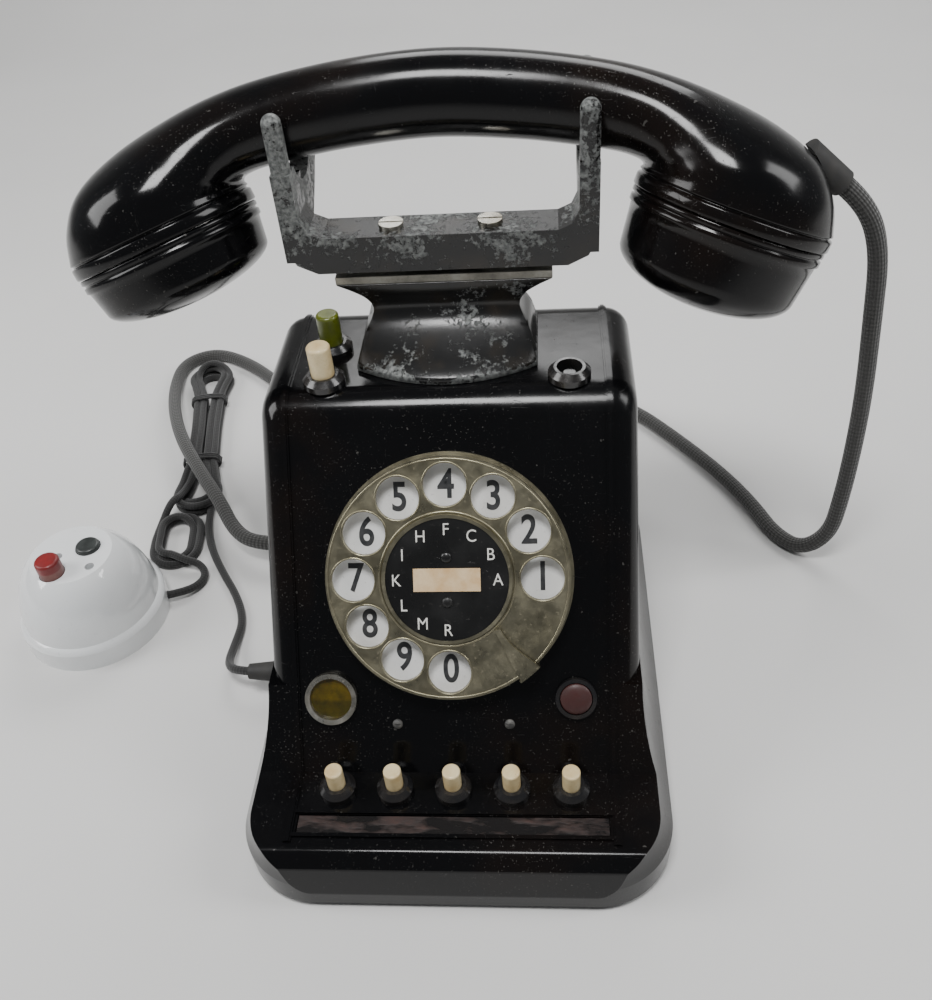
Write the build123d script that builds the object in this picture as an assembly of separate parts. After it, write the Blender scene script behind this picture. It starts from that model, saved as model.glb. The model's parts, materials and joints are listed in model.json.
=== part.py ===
from build123d import *
import math
import os

# Rotary desk telephone with a line of keys, built up from its separate pieces.
# Millimetres. X to the right, Y to the back, Z up. The origin is on the table,
# under the middle of the housing.

# ---- driving dimensions: housing ----
BASE_W = 134.0        # plinth width at the table
BASE_D = 176.0        # plinth depth
UPPER_W = 116.0       # housing width above the flare
DECK_Z = 118.6        # top deck
STEP_Z = 23.0         # key step
SHELL_LOW = 2.5       # lower rim of the shell, above the table
WALL = 3.0
FACE_TILT = 35.6      # the face normal's rise above the horizontal, degrees
FLARE_TOP = 46.0      # where the flared plinth meets the straight sides
BASE_R = 24.0         # plan corner radius of the plinth
PLINTH_Z = 12.0       # the plinth is upright below this and flared above it
UPPER_BACK = 66.0     # back edge of the deck
SIDE_R = 8.0          # rounding along the sides of the upper housing
NOSE_R = 12.0         # rounding between face and deck
BACK_R = 10.0         # rounding between deck and back
BEAD_X = 49.2         # raised bead lines
BEAD_H = 0.9
STEP_FRONT = 8.5      # from the plinth's front to the key step's front edge

# ---- driving dimensions: dial ----
DIAL_R = 38.0         # outer ring
WHEEL_R = 37.0
HOLE_CIRCLE_R = 28.5
FINGER_HOLE_R = 6.5
HOLE_PITCH = 30.0
HOLES = 10
WHEEL_RISE = 6.9      # wheel's top above the face
WHEEL_T = 1.2
PLATE_T = 1.0
RING_T = 1.3
CASE_R = 34.5
CASE_T = 1.0
CASE_DEPTH = 12.0
DISC_R = 18.6
SHAFT_R = 2.5
STOP_ANGLE = -50.0
GEAR_TEETH = 48
PINION_TEETH = 12
MODULE = 0.8
GEAR_T = 2.0

# ---- driving dimensions: face, keys and knobs ----
LAMP_X = 38.0
LAMP_V = -38.5
LAMP_R = 8.15
LENS_R = 6.6
BUTTON_R = 4.85
BUSH_R = 6.3
SCREW_X = 17.5
SCREW_V = -47.0
SCREW_R = 1.6
KEYS = 5
KEY_PITCH = 18.0
KEY_Y = -61.8
KEY_R = 2.75
KEY_TOP = 34.0
KEY_TRAVEL = 3.5
COLLAR_R = 5.6
COLLAR_H = 4.0
KNOB_X = 37.6
KNOB_Y = 21.0
KNOB_GAP = 18.0       # from the front knob to the one behind it
KNOB_R = 3.65
KNOB_TOP = 13.6       # above the deck
DECK_COLLAR_R = 6.5
DECK_COLLAR_H = 3.6

# ---- driving dimensions: cradle ----
CRADLE_Y = 45.5       # middle of the bar
BAR_D = 13.4
BAR_LOW = 146.0
BAR_TOP = 157.5
PRONG_X = 43.8
PRONG_R = 2.9
PRONG_TOP = 194.0
HANDLE_Y = 58.0
HANDLE_R = 11.9
HANDLE_Z = 191.0      # handle's middle
HANDLE_DROP = 5.5     # how much lower the handle is at the prongs
PRONG_GAP = 27.2      # clear gap between a front and a back prong
PEDESTAL_W = 56.0
PEDESTAL_TOP = 142.0
PLATE_TOP = 144.3
PEDESTAL_TOP_W = 66.0
NECK_W = 44.0
PLUNGER_W = 24.0
PLUNGER_T = 4.0

# ---- driving dimensions: handset ----
CUP_X = 84.9
CUP_DROP = 32.4       # from the handle's seat down to the rim of a cup
CUP_R = 30.0
CUP_LEAN = 21.0       # the cups' axes lean inwards
EAR_CAP_H = 20.0
MOUTH_CAP_H = 27.0
HANDSET_TILT = 18.0   # the handset leans, so the caps face forward a little

# ---- clearances ----
RUN = 0.05            # shaft in its hole
SLIDE = 0.25          # button in its collar
GAP = 0.3             # loose pieces on different bodies
SEAT = 0.02           # pieces of one body that nest

NODES = {}


def node(name, *solids):
    """Keep one named piece, as a single shape or a group of solids."""
    NODES[name] = list(solids)


def rod(r, z0, z1):
    return Pos(0, 0, z0) * Cylinder(r, z1 - z0, align=(Align.CENTER, Align.CENTER, Align.MIN))


def ring(r_out, r_in, z0, z1):
    return rod(r_out, z0, z1) - rod(r_in, z0 - 1, z1 + 1)


def block(x0, x1, y0, y1, z0, z1):
    return Pos((x0 + x1) / 2, (y0 + y1) / 2, (z0 + z1) / 2) * Box(x1 - x0, y1 - y0, z1 - z0)


def cone(r0, r1, z0, z1):
    return Pos(0, 0, z0) * Cone(r0, r1, z1 - z0, align=(Align.CENTER, Align.CENTER, Align.MIN))


def side_prism(outline, half_width):
    """A solid from a closed outline of (y, z) points, across the full width."""
    wire = Polyline(*[(0, y, z) for y, z in outline], close=True)
    return extrude(make_face(wire), amount=half_width, dir=(1, 0, 0), both=True)


def front_prism(outline, y0, y1):
    """A solid from a closed outline of (x, z) points, from y0 to y1."""
    wire = Polyline(*[(x, y0, z) for x, z in outline], close=True)
    return extrude(make_face(wire), amount=y1 - y0, dir=(0, 1, 0))


def plan_slab(width, y0, y1, radius, z0, z1):
    face = Rectangle(width, y1 - y0)
    rounded = fillet(face.vertices(), radius)
    return Pos(0, (y0 + y1) / 2, z0) * extrude(rounded, amount=z1 - z0)


# ---- the face's own frame: u to the right, v up the face, w out of it ----
tilt = math.radians(FACE_TILT)
FACE_NORMAL = (0, -math.cos(tilt), math.sin(tilt))
FRONT_Y = -BASE_D / 2
BACK_Y = BASE_D / 2
FACE_Y0 = -18.9       # a point of the face's plane, behind the dial's middle
FACE_Z0 = 74.0
face_plane = Plane(origin=(0, FACE_Y0, FACE_Z0), x_dir=(1, 0, 0), z_dir=FACE_NORMAL)
face_at = face_plane.location


def face_y(z):
    return FACE_Y0 + (z - FACE_Z0) * math.tan(tilt)


def on_face(u, v, shape):
    return face_at * Pos(u, v, 0) * shape


# ---- housing shell ----
def upper_body(inset):
    """The upright part, its side outline drawn in by inset all round."""
    top = DECK_Z - inset
    nrm = inset / math.cos(tilt)
    foot = 8.0
    front = [(face_y(foot) + nrm, foot), (face_y(top) + nrm, top)]
    back = [(UPPER_BACK - inset, top), (UPPER_BACK + (top - foot) * 0.09 - inset, foot)]
    half = UPPER_W / 2 - inset
    solid = side_prism(front + back, half)
    middle = (face_y(top) + UPPER_BACK) / 2
    nose = [e for e in solid.edges().filter_by(Axis.X) if e.center().Z > top - 0.1 and e.center().Y < middle]
    solid = fillet(nose, NOSE_R - inset)
    heel = solid.edges().filter_by(Axis.X).sort_by(Axis.Z)
    heel = [e for e in heel if e.center().Z > top - 0.1 and e.center().Y > UPPER_BACK - inset - 0.1]
    solid = fillet(heel, BACK_R - inset)
    sides = [e for e in solid.edges() if abs(abs(e.center().X) - half) < 0.01 and e.center().Z > foot + 1]
    return fillet(sides, SIDE_R - inset)


def flare_section(z, inset):
    """Half width and back edge of the flared plinth at height z."""
    t = min(max((z - PLINTH_Z) / (FLARE_TOP - PLINTH_Z), 0.0), 1.0)
    ease = (1 - t) ** 2
    half = UPPER_W / 2 + (BASE_W - UPPER_W) / 2 * (0.02 + 0.98 * ease) - inset
    back = UPPER_BACK + 3.5 + (BACK_Y - UPPER_BACK - 3.5) * ease - inset
    return half, back


def flare(inset):
    sections = []
    front = FRONT_Y + inset
    for i in range(5):
        t = i / 4
        z = PLINTH_Z + (FLARE_TOP - PLINTH_Z) * t
        half, back = flare_section(z, inset)
        radius = BASE_R - inset - (BASE_R - SIDE_R - 2) * t
        corners = Rectangle(2 * half, back - front).vertices()
        sections.append(Pos(0, (front + back) / 2, z) * fillet(corners, radius))
    low = SHELL_LOW - (1 if inset else 0)
    return loft(sections) + plan_slab(BASE_W - 2 * inset, front, BACK_Y - inset, BASE_R - inset, low, PLINTH_Z)


def plinth_mask(inset):
    """Everything below the key step, and everything behind the face."""
    low = -5.0
    step = STEP_Z - inset
    nrm = inset / math.cos(tilt)
    lip = FRONT_Y + inset
    outline = [(lip, low), (lip, 8.0), (lip + 2.0, step - 4.0), (lip + STEP_FRONT - 2.5, step),
               (face_y(step) + nrm, step), (face_y(FLARE_TOP + 10) + nrm, FLARE_TOP + 10),
               (BACK_Y + 5, FLARE_TOP + 10), (BACK_Y + 5, low)]
    solid = side_prism(outline, BASE_W)
    rounded = [e for e in solid.edges().filter_by(Axis.X)
               if e.center().Y < FRONT_Y + STEP_FRONT and e.center().Z > 6]
    return fillet(rounded, 2.4)


def body(inset):
    return upper_body(inset) + (flare(inset) & plinth_mask(inset))


outer = body(0)
inner = body(WALL) - block(-100, 100, -150, 150, -10, SHELL_LOW - 2)
shell = outer - inner

# Raised bead lines follow the side outline over the face and the deck.
for side in (-1, 1):
    for width, height in ((2.4, BEAD_H * 0.6), (1.2, BEAD_H)):
        rim = upper_body(-height) - upper_body(WALL / 2)
        keep = block(-width / 2, width / 2, -120, 62, STEP_Z - 1, 200)
        shell += rim & (Pos(side * BEAD_X, 0, 0) * keep)
        lip = block(-width / 2, width / 2, FRONT_Y + STEP_FRONT, face_y(STEP_Z) + 1, STEP_Z - 1, STEP_Z + height)
        shell += Pos(side * BEAD_X, 0, 0) * lip

# The label strip lies in a shallow recess between two rails.
STRIP_Y0 = FRONT_Y + STEP_FRONT + 3.2
STRIP_D = 6.0
STRIP_HALF = BEAD_X - 2.0
STRIP_DEEP = 0.8
shell -= block(-STRIP_HALF, STRIP_HALF, STRIP_Y0, STRIP_Y0 + STRIP_D, STEP_Z - STRIP_DEEP, STEP_Z + 5)
for rail_y in (STRIP_Y0 - 1.5, STRIP_Y0 + STRIP_D + 0.3):
    shell += block(-BEAD_X, BEAD_X, rail_y, rail_y + 1.2, STEP_Z - 1, STEP_Z + 0.7)
node("label_strip", block(-STRIP_HALF + 0.3, STRIP_HALF - 0.3, STRIP_Y0 + 0.2, STRIP_Y0 + STRIP_D - 0.2,
                          STEP_Z - STRIP_DEEP, STEP_Z - STRIP_DEEP + 0.5))

# Openings in the face.
shell -= on_face(0, 0, rod(CASE_R + SEAT, -WALL - 6, 8))
shell -= on_face(-LAMP_X, LAMP_V, rod(LAMP_R - 1.2, -WALL - 6, 8))
shell -= on_face(LAMP_X, LAMP_V, rod(BUSH_R - 0.4, -WALL - 6, 8))
for side in (-1, 1):
    shell -= on_face(side * SCREW_X, SCREW_V, rod(SCREW_R * 0.6 + SEAT, -WALL - 6, 8))

# Openings for keys, knobs and the plunger.
key_xs = [KEY_PITCH * (i - (KEYS - 1) / 2) for i in range(KEYS)]
for x in key_xs:
    shell -= Pos(x, KEY_Y, 0) * rod(COLLAR_R - 1.5, STEP_Z - WALL - 8, STEP_Z + 5)
knob_places = [(-KNOB_X, KNOB_Y), (-KNOB_X, KNOB_Y + KNOB_GAP), (KNOB_X, KNOB_Y)]
for x, y in knob_places:
    shell -= Pos(x, y, 0) * rod(DECK_COLLAR_R - 1.5, DECK_Z - WALL - 8, DECK_Z + 5)
PLUNGER_SLOT = (PLUNGER_W / 2 + SLIDE, PLUNGER_T / 2 + SLIDE)
PLUNGER_Y = CRADLE_Y
shell -= block(-PLUNGER_SLOT[0], PLUNGER_SLOT[0], PLUNGER_Y - PLUNGER_SLOT[1], PLUNGER_Y + PLUNGER_SLOT[1],
               DECK_Z - WALL - 5, DECK_Z + 5)

# Screw posts that carry the base plate.
PLATE_Z0 = SHELL_LOW
PLATE_H = 1.5
POST_X = BASE_W / 2 - 14.0
POST_Y = BASE_D / 2 - 18.0
posts = [(sx * POST_X, sy * POST_Y) for sx in (-1, 1) for sy in (-1, 1)]
POST_TOP = STEP_Z - WALL + 0.5
for x, y in posts:
    post = Pos(x, y, 0) * rod(4.5, PLATE_Z0 + PLATE_H, POST_TOP)
    post -= Pos(x, y, 0) * rod(1.6, 0, POST_TOP - 4)
    shell += post
for x, y in posts:
    if y > 0:
        web_x0 = min(x, math.copysign(flare_section(12.0, WALL)[0] + 1, x))
        web_x1 = max(x, math.copysign(flare_section(12.0, WALL)[0] + 1, x))
        web = block(web_x0, web_x1, y - 1.2, y + 1.2, PLATE_Z0 + PLATE_H, POST_TOP)
        web -= Pos(x, y, 0) * rod(4.0, 0, 60)
        shell += web & outer

# Cable inlets: both low in the left wall, the handset's further back.
HANDSET_GLAND_Y = 60.0
LINE_GLAND_Y = -6.0
GLAND_Z = 11.0
HANDSET_GLAND_R = 5.0
LINE_GLAND_R = 4.0
side_wall_x = -flare_section(GLAND_Z, 0)[0]


def in_left_wall(y, shape):
    return Location((side_wall_x, y, GLAND_Z)) * Rotation(0, -90, 0) * shape


shell -= in_left_wall(HANDSET_GLAND_Y, rod(HANDSET_GLAND_R, -14, 8))
shell -= in_left_wall(LINE_GLAND_Y, rod(LINE_GLAND_R, -14, 8))
node("housing_shell", shell)

# Cord sizes, needed by the glands and the reliefs.
CORD_R = 3.0
LINE_R = 1.6


def gland(r_body, r_flange, r_bore, bore_depth):
    piece = rod(r_body - SEAT, -9, 0) + rod(r_flange, 0.3, 2.0) + cone(r_bore + 2.2, r_bore + 1.2, 2.0, 12.0)
    piece += rod(r_body - SEAT, -1, 1)
    return piece - rod(r_bore + SEAT, 12.0 - bore_depth, 13)


node("handset_cord_gland", in_left_wall(HANDSET_GLAND_Y, gland(HANDSET_GLAND_R, HANDSET_GLAND_R + 2, CORD_R, 4.0)))
node("line_cord_gland", in_left_wall(LINE_GLAND_Y, gland(LINE_GLAND_R, LINE_GLAND_R + 1.6, LINE_R, 4.0)))

# ---- base ----
plate = plan_slab(BASE_W - 2 * WALL - 1.0, FRONT_Y + WALL + 0.5, BACK_Y - WALL - 0.5, BASE_R - WALL - 0.5,
                  PLATE_Z0, PLATE_Z0 + PLATE_H)
for x, y in posts:
    plate -= Pos(x, y, 0) * rod(1.6 + RUN, 0, 10)
feet_at = [(x * 0.78, y * 0.80) for x, y in posts]
for x, y in feet_at:
    plate -= Pos(x, y, 0) * rod(2.0, 0, 10)
node("base_plate", plate)
FOOT_R = 7.0
node("base_feet", *[Pos(x, y, 0) * (cone(FOOT_R - 1, FOOT_R, 0, PLATE_Z0) + rod(2.0 - SEAT, 1, PLATE_Z0 + PLATE_H))
                    for x, y in feet_at])
node("base_screws", *[Pos(x, y, 0) * (rod(3.0, PLATE_Z0 - 1.4, PLATE_Z0) + rod(1.6 - SEAT, PLATE_Z0 - 1, PLATE_Z0 + 8))
                      for x, y in posts])

# ---- dial: fixed pieces, in the face's frame with w = 0 on the face ----
TOP_W = WHEEL_RISE
case = ring(DIAL_R, CASE_R - CASE_T, 0, RING_T) + ring(CASE_R, CASE_R - CASE_T, -CASE_DEPTH, RING_T)
FRAME_W0 = -CASE_DEPTH
FRAME_H = 1.5
governor_angle = math.radians(205)
CENTRE_DIST = MODULE * (GEAR_TEETH + PINION_TEETH) / 2
GOV_U = CENTRE_DIST * math.cos(governor_angle)
GOV_V = CENTRE_DIST * math.sin(governor_angle)
PIVOT_R = 1.2
dial_frame = rod(CASE_R - CASE_T - SEAT, FRAME_W0, FRAME_W0 + FRAME_H) - rod(SHAFT_R + RUN, -40, 10)
dial_frame -= Pos(GOV_U, GOV_V, 0) * rod(PIVOT_R + RUN, -40, 10)
PLATE_W = RING_T
number_plate = ring(WHEEL_R - 0.4, SHAFT_R + 8.0, PLATE_W, PLATE_W + PLATE_T)
node("dial_case", on_face(0, 0, case))
node("number_plate", on_face(0, 0, number_plate))
node("dial_frame", on_face(0, 0, dial_frame))


def polar(r, degrees):
    a = math.radians(degrees)
    return (r * math.cos(a), r * math.sin(a))


# The stop is a curved tongue: wide at the rim, narrow over the wheel's middle.
STOP_LIFT = 0.7
STOP_T = 1.3
stop_low = TOP_W + STOP_LIFT
tongue_edge_a = Spline(polar(20.6, -47.5), polar(27.0, -51.5), polar(33.0, -54.0), polar(DIAL_R, -55.0))
tongue_edge_b = Spline(polar(21.6, -43.5), polar(27.0, -46.0), polar(33.0, -45.0), polar(DIAL_R, -44.0))
tongue_ends = [Line(tongue_edge_a @ 0, tongue_edge_b @ 0), Line(tongue_edge_a @ 1, tongue_edge_b @ 1)]
tongue = extrude(make_face(Wire([tongue_edge_a, tongue_edge_b] + tongue_ends)), amount=STOP_T)
STOP_HALF = 3.6
leg = ring(DIAL_R, WHEEL_R + GAP, RING_T, stop_low + STOP_T)
leg &= Rot(0, 0, STOP_ANGLE) * block(WHEEL_R - 1, DIAL_R + 1, -STOP_HALF, STOP_HALF, 0, stop_low + STOP_T)
node("finger_stop", on_face(0, 0, (Pos(0, 0, stop_low) * tongue) + leg))

# ---- dial: moving pieces ----
WHEEL_LOW = TOP_W - WHEEL_T
wheel = rod(WHEEL_R, WHEEL_LOW, TOP_W) + ring(WHEEL_R, WHEEL_R - 1.0, TOP_W - 3.4, TOP_W)
wheel += ring(DISC_R + 1.0, DISC_R + SEAT, TOP_W, TOP_W + 0.9)
wheel += rod(7.0, PLATE_W + 0.4, WHEEL_LOW)
for i in range(HOLES):
    wheel -= Pos(*polar(HOLE_CIRCLE_R, HOLE_PITCH * i)) * rod(FINGER_HOLE_R, -2, TOP_W + 2)
wheel -= rod(SHAFT_R + SEAT, -5, TOP_W - 0.6)
node("finger_wheel", on_face(0, 0, wheel))
CARD_W = 20.4
CARD_H = 7.2
DISC_T = 0.6
disc = rod(DISC_R, TOP_W, TOP_W + DISC_T)
disc = disc - block(-CARD_W / 2, CARD_W / 2, -CARD_H / 2, CARD_H / 2, TOP_W + DISC_T - 0.3, TOP_W + 5)
node("centre_disc", on_face(0, 0, disc))
node("centre_card", on_face(0, 0, block(-CARD_W / 2 + 0.1, CARD_W / 2 - 0.1, -CARD_H / 2 + 0.1, CARD_H / 2 - 0.1,
                                        TOP_W + DISC_T - 0.3, TOP_W + DISC_T + 0.2)))


def gear(teeth, r_bore, thickness, phase):
    """A spur gear with straight-sided teeth; phase turns its first tooth, in degrees."""
    pitch_r = MODULE * teeth / 2
    tip_r = pitch_r + 0.75 * MODULE
    root_r = pitch_r - 1.1 * MODULE
    half = 0.40 * math.pi * MODULE / 2
    slope = math.tan(math.radians(22))
    blank = Circle(root_r)
    for i in range(teeth):
        tip = half - (tip_r - pitch_r) * slope
        low = half + (pitch_r - root_r) * slope
        tooth = Polyline((root_r - 0.3, -low), (tip_r, -tip), (tip_r, tip), (root_r - 0.3, low), close=True)
        blank += Rot(0, 0, phase + 360 / teeth * i) * make_face(tooth)
    return extrude(blank, amount=thickness) - rod(r_bore, -1, thickness + 1)


GEAR_W0 = FRAME_W0 - 4.0
gov_deg = math.degrees(governor_angle)
gear_phase = gov_deg % (360 / GEAR_TEETH)
pinion_phase = (gov_deg + 180) % (360 / PINION_TEETH) + 180 / PINION_TEETH
dial_gear = Pos(0, 0, GEAR_W0) * gear(GEAR_TEETH, SHAFT_R + SEAT, GEAR_T, gear_phase)
node("dial_gear", on_face(0, 0, dial_gear))
shaft = rod(SHAFT_R, GEAR_W0 - 1.5, TOP_W - 0.7) + rod(SHAFT_R + 1.5, GEAR_W0 - 2.5, GEAR_W0 - 0.1)
node("dial_shaft", on_face(0, 0, shaft))
spindle = Pos(0, 0, GEAR_W0 - 0.5) * gear(PINION_TEETH, 0.01, GEAR_T + 1.0, pinion_phase)
spindle += rod(PIVOT_R, GEAR_W0 - 14, FRAME_W0 + FRAME_H + 0.8)
spindle += rod(1.0, GEAR_W0 - 1, GEAR_W0 + 1)
spindle += ring(8.0, 0.8, GEAR_W0 - 13, GEAR_W0 - 11.5)
for side in (-1, 1):
    spindle += Pos(side * 5.4, 0, 0) * rod(2.0, GEAR_W0 - 11.5, GEAR_W0 - 7)
node("governor_spindle", on_face(GOV_U, GOV_V, spindle))

# ---- face: lamp, button and screws ----
bezel = ring(LAMP_R, LENS_R + SEAT, 0, 2.2) + ring(LAMP_R - 1.2 - SEAT, LENS_R + SEAT, -WALL - 2, 2.2)
bezel = bezel + ring(LAMP_R - 1.2 - SEAT, LENS_R - 0.9, -WALL - 2, -WALL)
lens = rod(LENS_R, -WALL, 0.6) + (Pos(0, 0, 0.6) * scale(Sphere(LENS_R), (1, 1, 0.16)) & rod(LENS_R, 0.5, 4))
node("lamp_bezel", on_face(-LAMP_X, LAMP_V, bezel))
node("lamp_lens", on_face(-LAMP_X, LAMP_V, lens))
BUTTON_TRAVEL = 2.0
BUTTON_TOP = 1.6
STEM_R = 2.2
bushing = rod(BUSH_R, 0, 1.8) + rod(BUSH_R - 0.4 - SEAT, -WALL - 2, 0)
bushing -= rod(BUTTON_R + SLIDE, -BUTTON_TRAVEL - GAP, 4)
bushing -= rod(STEM_R + SLIDE, -20, 4)
button = rod(BUTTON_R, 0, BUTTON_TOP) + (Pos(0, 0, BUTTON_TOP) * scale(Sphere(BUTTON_R), (1, 1, 0.28)))
button = (button & rod(BUTTON_R, 0, 9)) + rod(STEM_R, -WALL - 8, 0.5)
node("button_bushing", on_face(LAMP_X, LAMP_V, bushing))
node("red_button", on_face(LAMP_X, LAMP_V, button))
screw_head = Pos(0, 0, 0) * scale(Sphere(SCREW_R), (1, 1, 0.6)) & rod(SCREW_R, 0, 3)
screw_head = screw_head + rod(SCREW_R * 0.6, -WALL - 3, 0.3)
screw_head -= block(-3, 3, -0.25, 0.25, 0.6, 3)
node("face_screws", *[on_face(side * SCREW_X, SCREW_V, screw_head) for side in (-1, 1)])

# ---- keys ----
def collar(r, h, bore, z0, neck_r, neck_depth):
    """A bulbous turned collar that stands on a surface, with a neck through it."""
    bulb = rod(r, z0, z0 + h * 0.55) + cone(r, r * 0.74, z0 + h * 0.55, z0 + h)
    return bulb + rod(neck_r - SEAT, z0 - neck_depth, z0 + 0.5) - rod(bore, z0 - neck_depth - 1, z0 + h + 1)


node("key_collars", *[Pos(x, KEY_Y, 0) * collar(COLLAR_R, COLLAR_H, KEY_R + SLIDE, STEP_Z, COLLAR_R - 1.5, WALL + 2)
                      for x in key_xs])
KEY_LOW = STEP_Z - WALL - 9.0
for i, x in enumerate(key_xs):
    key = fillet(rod(KEY_R, KEY_LOW, KEY_TOP).edges().group_by(Axis.Z)[-1], 0.6)
    node(f"key_{i + 1}", Pos(x, KEY_Y, 0) * key)
frame_z0 = PLATE_Z0 + PLATE_H
switch = block(-46, 46, KEY_Y - 7, KEY_Y + 7, frame_z0, KEY_LOW - KEY_TRAVEL - GAP)
for x in key_xs:
    switch += block(x - 5, x - 4, KEY_Y - 6, KEY_Y + 6, frame_z0, KEY_LOW + 2)
node("key_frame", switch)

# ---- deck knobs ----
knob_bore = KNOB_R + SLIDE
deck_collars = []
for x, y in knob_places:
    body_ring = collar(DECK_COLLAR_R, DECK_COLLAR_H, knob_bore, DECK_Z, DECK_COLLAR_R - 1.5, WALL + 2)
    deck_collars.append(Pos(x, y, 0) * body_ring)
node("deck_collars", *deck_collars)


def knob(top):
    solid = rod(KNOB_R, DECK_Z - 9, DECK_Z + top)
    return fillet(solid.edges().group_by(Axis.Z)[-1], 1.0)


node("cream_knob", Pos(*knob_places[0], 0) * knob(KNOB_TOP))
node("green_knob", Pos(*knob_places[1], 0) * knob(KNOB_TOP))
blank = rod(1.8, DECK_Z - 9, DECK_Z + 1.6) + rod(KNOB_R, DECK_Z - 9, DECK_Z - 1)
node("blank_plunger", Pos(*knob_places[2], 0) * blank)

# ---- pedestal and cradle ----
PED_FRONT = 27.0      # corner of the pedestal's foot; its middle bulges further forward
PED_BULGE = 9.0
PED_BACK = 55.0
ped_front_view = [(-PEDESTAL_W / 2, DECK_Z - 1), (-PEDESTAL_W / 2, DECK_Z + 8.5), (-NECK_W / 2 - 1, DECK_Z + 12.0),
                  (-NECK_W / 2, DECK_Z + 13.5), (-NECK_W / 2 - 2.0, DECK_Z + 16.0),
                  (-PEDESTAL_TOP_W / 2, PEDESTAL_TOP - 1.5), (-PEDESTAL_TOP_W / 2, PEDESTAL_TOP)]
ped_front_view += [(-x, z) for x, z in reversed(ped_front_view)]
ped_low = PED_FRONT - PED_BULGE
ped_side = [(ped_low, DECK_Z), (ped_low, DECK_Z + 2.2), (ped_low + 5.0, DECK_Z + 5.6), (ped_low + 11.0, DECK_Z + 8.6),
            (ped_low + 16.5, DECK_Z + 11.2), (ped_low + 20.0, DECK_Z + 14.5), (ped_low + 21.0, DECK_Z + 18.0),
            (ped_low + 20.5, PEDESTAL_TOP), (PED_BACK, PEDESTAL_TOP), (PED_BACK - 2, DECK_Z + 14), (PED_BACK, DECK_Z)]
pedestal = front_prism(ped_front_view, 0, 80) & side_prism(ped_side, 60)
foot_arc = ThreePointArc((-PEDESTAL_W / 2, PED_FRONT), (0, ped_low), (PEDESTAL_W / 2, PED_FRONT))
foot_rest = Polyline((PEDESTAL_W / 2, PED_FRONT), (PEDESTAL_TOP_W / 2 + 1, PED_FRONT),
                     (PEDESTAL_TOP_W / 2 + 1, PED_BACK + 2), (-PEDESTAL_TOP_W / 2 - 1, PED_BACK + 2),
                     (-PEDESTAL_TOP_W / 2 - 1, PED_FRONT), (-PEDESTAL_W / 2, PED_FRONT))
pedestal &= Pos(0, 0, DECK_Z) * extrude(make_face(foot_arc.edges() + foot_rest.edges()), amount=60)
slot = block(-PLUNGER_SLOT[0], PLUNGER_SLOT[0], PLUNGER_Y - PLUNGER_SLOT[1], PLUNGER_Y + PLUNGER_SLOT[1], 100, 160)
node("cradle_pedestal", pedestal - slot)
top_plate = block(-PEDESTAL_TOP_W / 2, PEDESTAL_TOP_W / 2, ped_low + 21.0, PED_BACK, PEDESTAL_TOP, PLATE_TOP)
node("pedestal_plate", top_plate - slot)

bar_front = CRADLE_Y - BAR_D / 2
bar_back = CRADLE_Y + BAR_D / 2
prong_front_y = HANDLE_Y - PRONG_GAP / 2 - PRONG_R
prong_back_y = HANDLE_Y + PRONG_GAP / 2 + PRONG_R
prong_out = PRONG_X + PRONG_R
prong_in = PRONG_X - PRONG_R
handle_seat_z = HANDLE_Z - HANDLE_DROP
VALLEY_R = PRONG_GAP / 2
SEAT_ROOM = 4.4       # the handle falls away towards the cups across the prong's width
valley_z = handle_seat_z - HANDLE_R - SEAT_ROOM + VALLEY_R
WEB_Z = valley_z - VALLEY_R + 4.0
u_view = [(-prong_out, WEB_Z), (-prong_out, BAR_LOW + 9), (-prong_out + 3, BAR_LOW + 3), (-prong_out + 9, BAR_LOW),
          (prong_out - 9, BAR_LOW), (prong_out - 3, BAR_LOW + 3), (prong_out, BAR_LOW + 9), (prong_out, WEB_Z),
          (prong_in, WEB_Z), (prong_in, BAR_TOP + 6), (prong_in - 2, BAR_TOP + 1.8), (prong_in - 6, BAR_TOP),
          (-prong_in + 6, BAR_TOP), (-prong_in + 2, BAR_TOP + 1.8), (-prong_in, BAR_TOP + 6), (-prong_in, WEB_Z)]
fork = front_prism(u_view, bar_front, bar_back)
web_view = [(bar_front, BAR_LOW + 4), (bar_back, BAR_LOW + 4), (prong_back_y - 4, WEB_Z - 9),
            (prong_back_y + PRONG_R, WEB_Z - 2), (prong_back_y + PRONG_R, WEB_Z + 4), (bar_front, WEB_Z + 4)]
valley = Pos(0, HANDLE_Y, valley_z) * Rot(0, 90, 0) * Cylinder(VALLEY_R, 200)
for side in (-1, 1):
    web = side_prism(web_view, PRONG_R) - valley
    fork += Pos(side * PRONG_X, 0, 0) * web
    for y in (prong_front_y, prong_back_y):
        prong = Pos(side * PRONG_X, y, 0) * rod(PRONG_R, WEB_Z, PRONG_TOP - PRONG_R)
        fork += prong + Pos(side * PRONG_X, y, PRONG_TOP - PRONG_R) * Sphere(PRONG_R)
BAR_SCREW_X = 14.8
BAR_SCREW_R = 3.7
fork -= Pos(-BAR_SCREW_X, CRADLE_Y, 0) * rod(1.5 + SEAT, BAR_TOP - 8, BAR_TOP + 5)
fork -= Pos(BAR_SCREW_X, CRADLE_Y, 0) * rod(1.5 + SEAT, BAR_TOP - 8, BAR_TOP + 5)
node("cradle_fork", fork)
bar_screw = rod(BAR_SCREW_R, BAR_TOP, BAR_TOP + 1.4) + rod(1.5, BAR_TOP - 7, BAR_TOP + 0.5)
bar_screw -= block(-9, 9, -0.4, 0.4, BAR_TOP + 0.7, BAR_TOP + 4)
node("cradle_screws", *[Pos(side * BAR_SCREW_X, CRADLE_Y, 0) * bar_screw for side in (-1, 1)])
PLUNGER_LOW = 98.0
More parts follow.
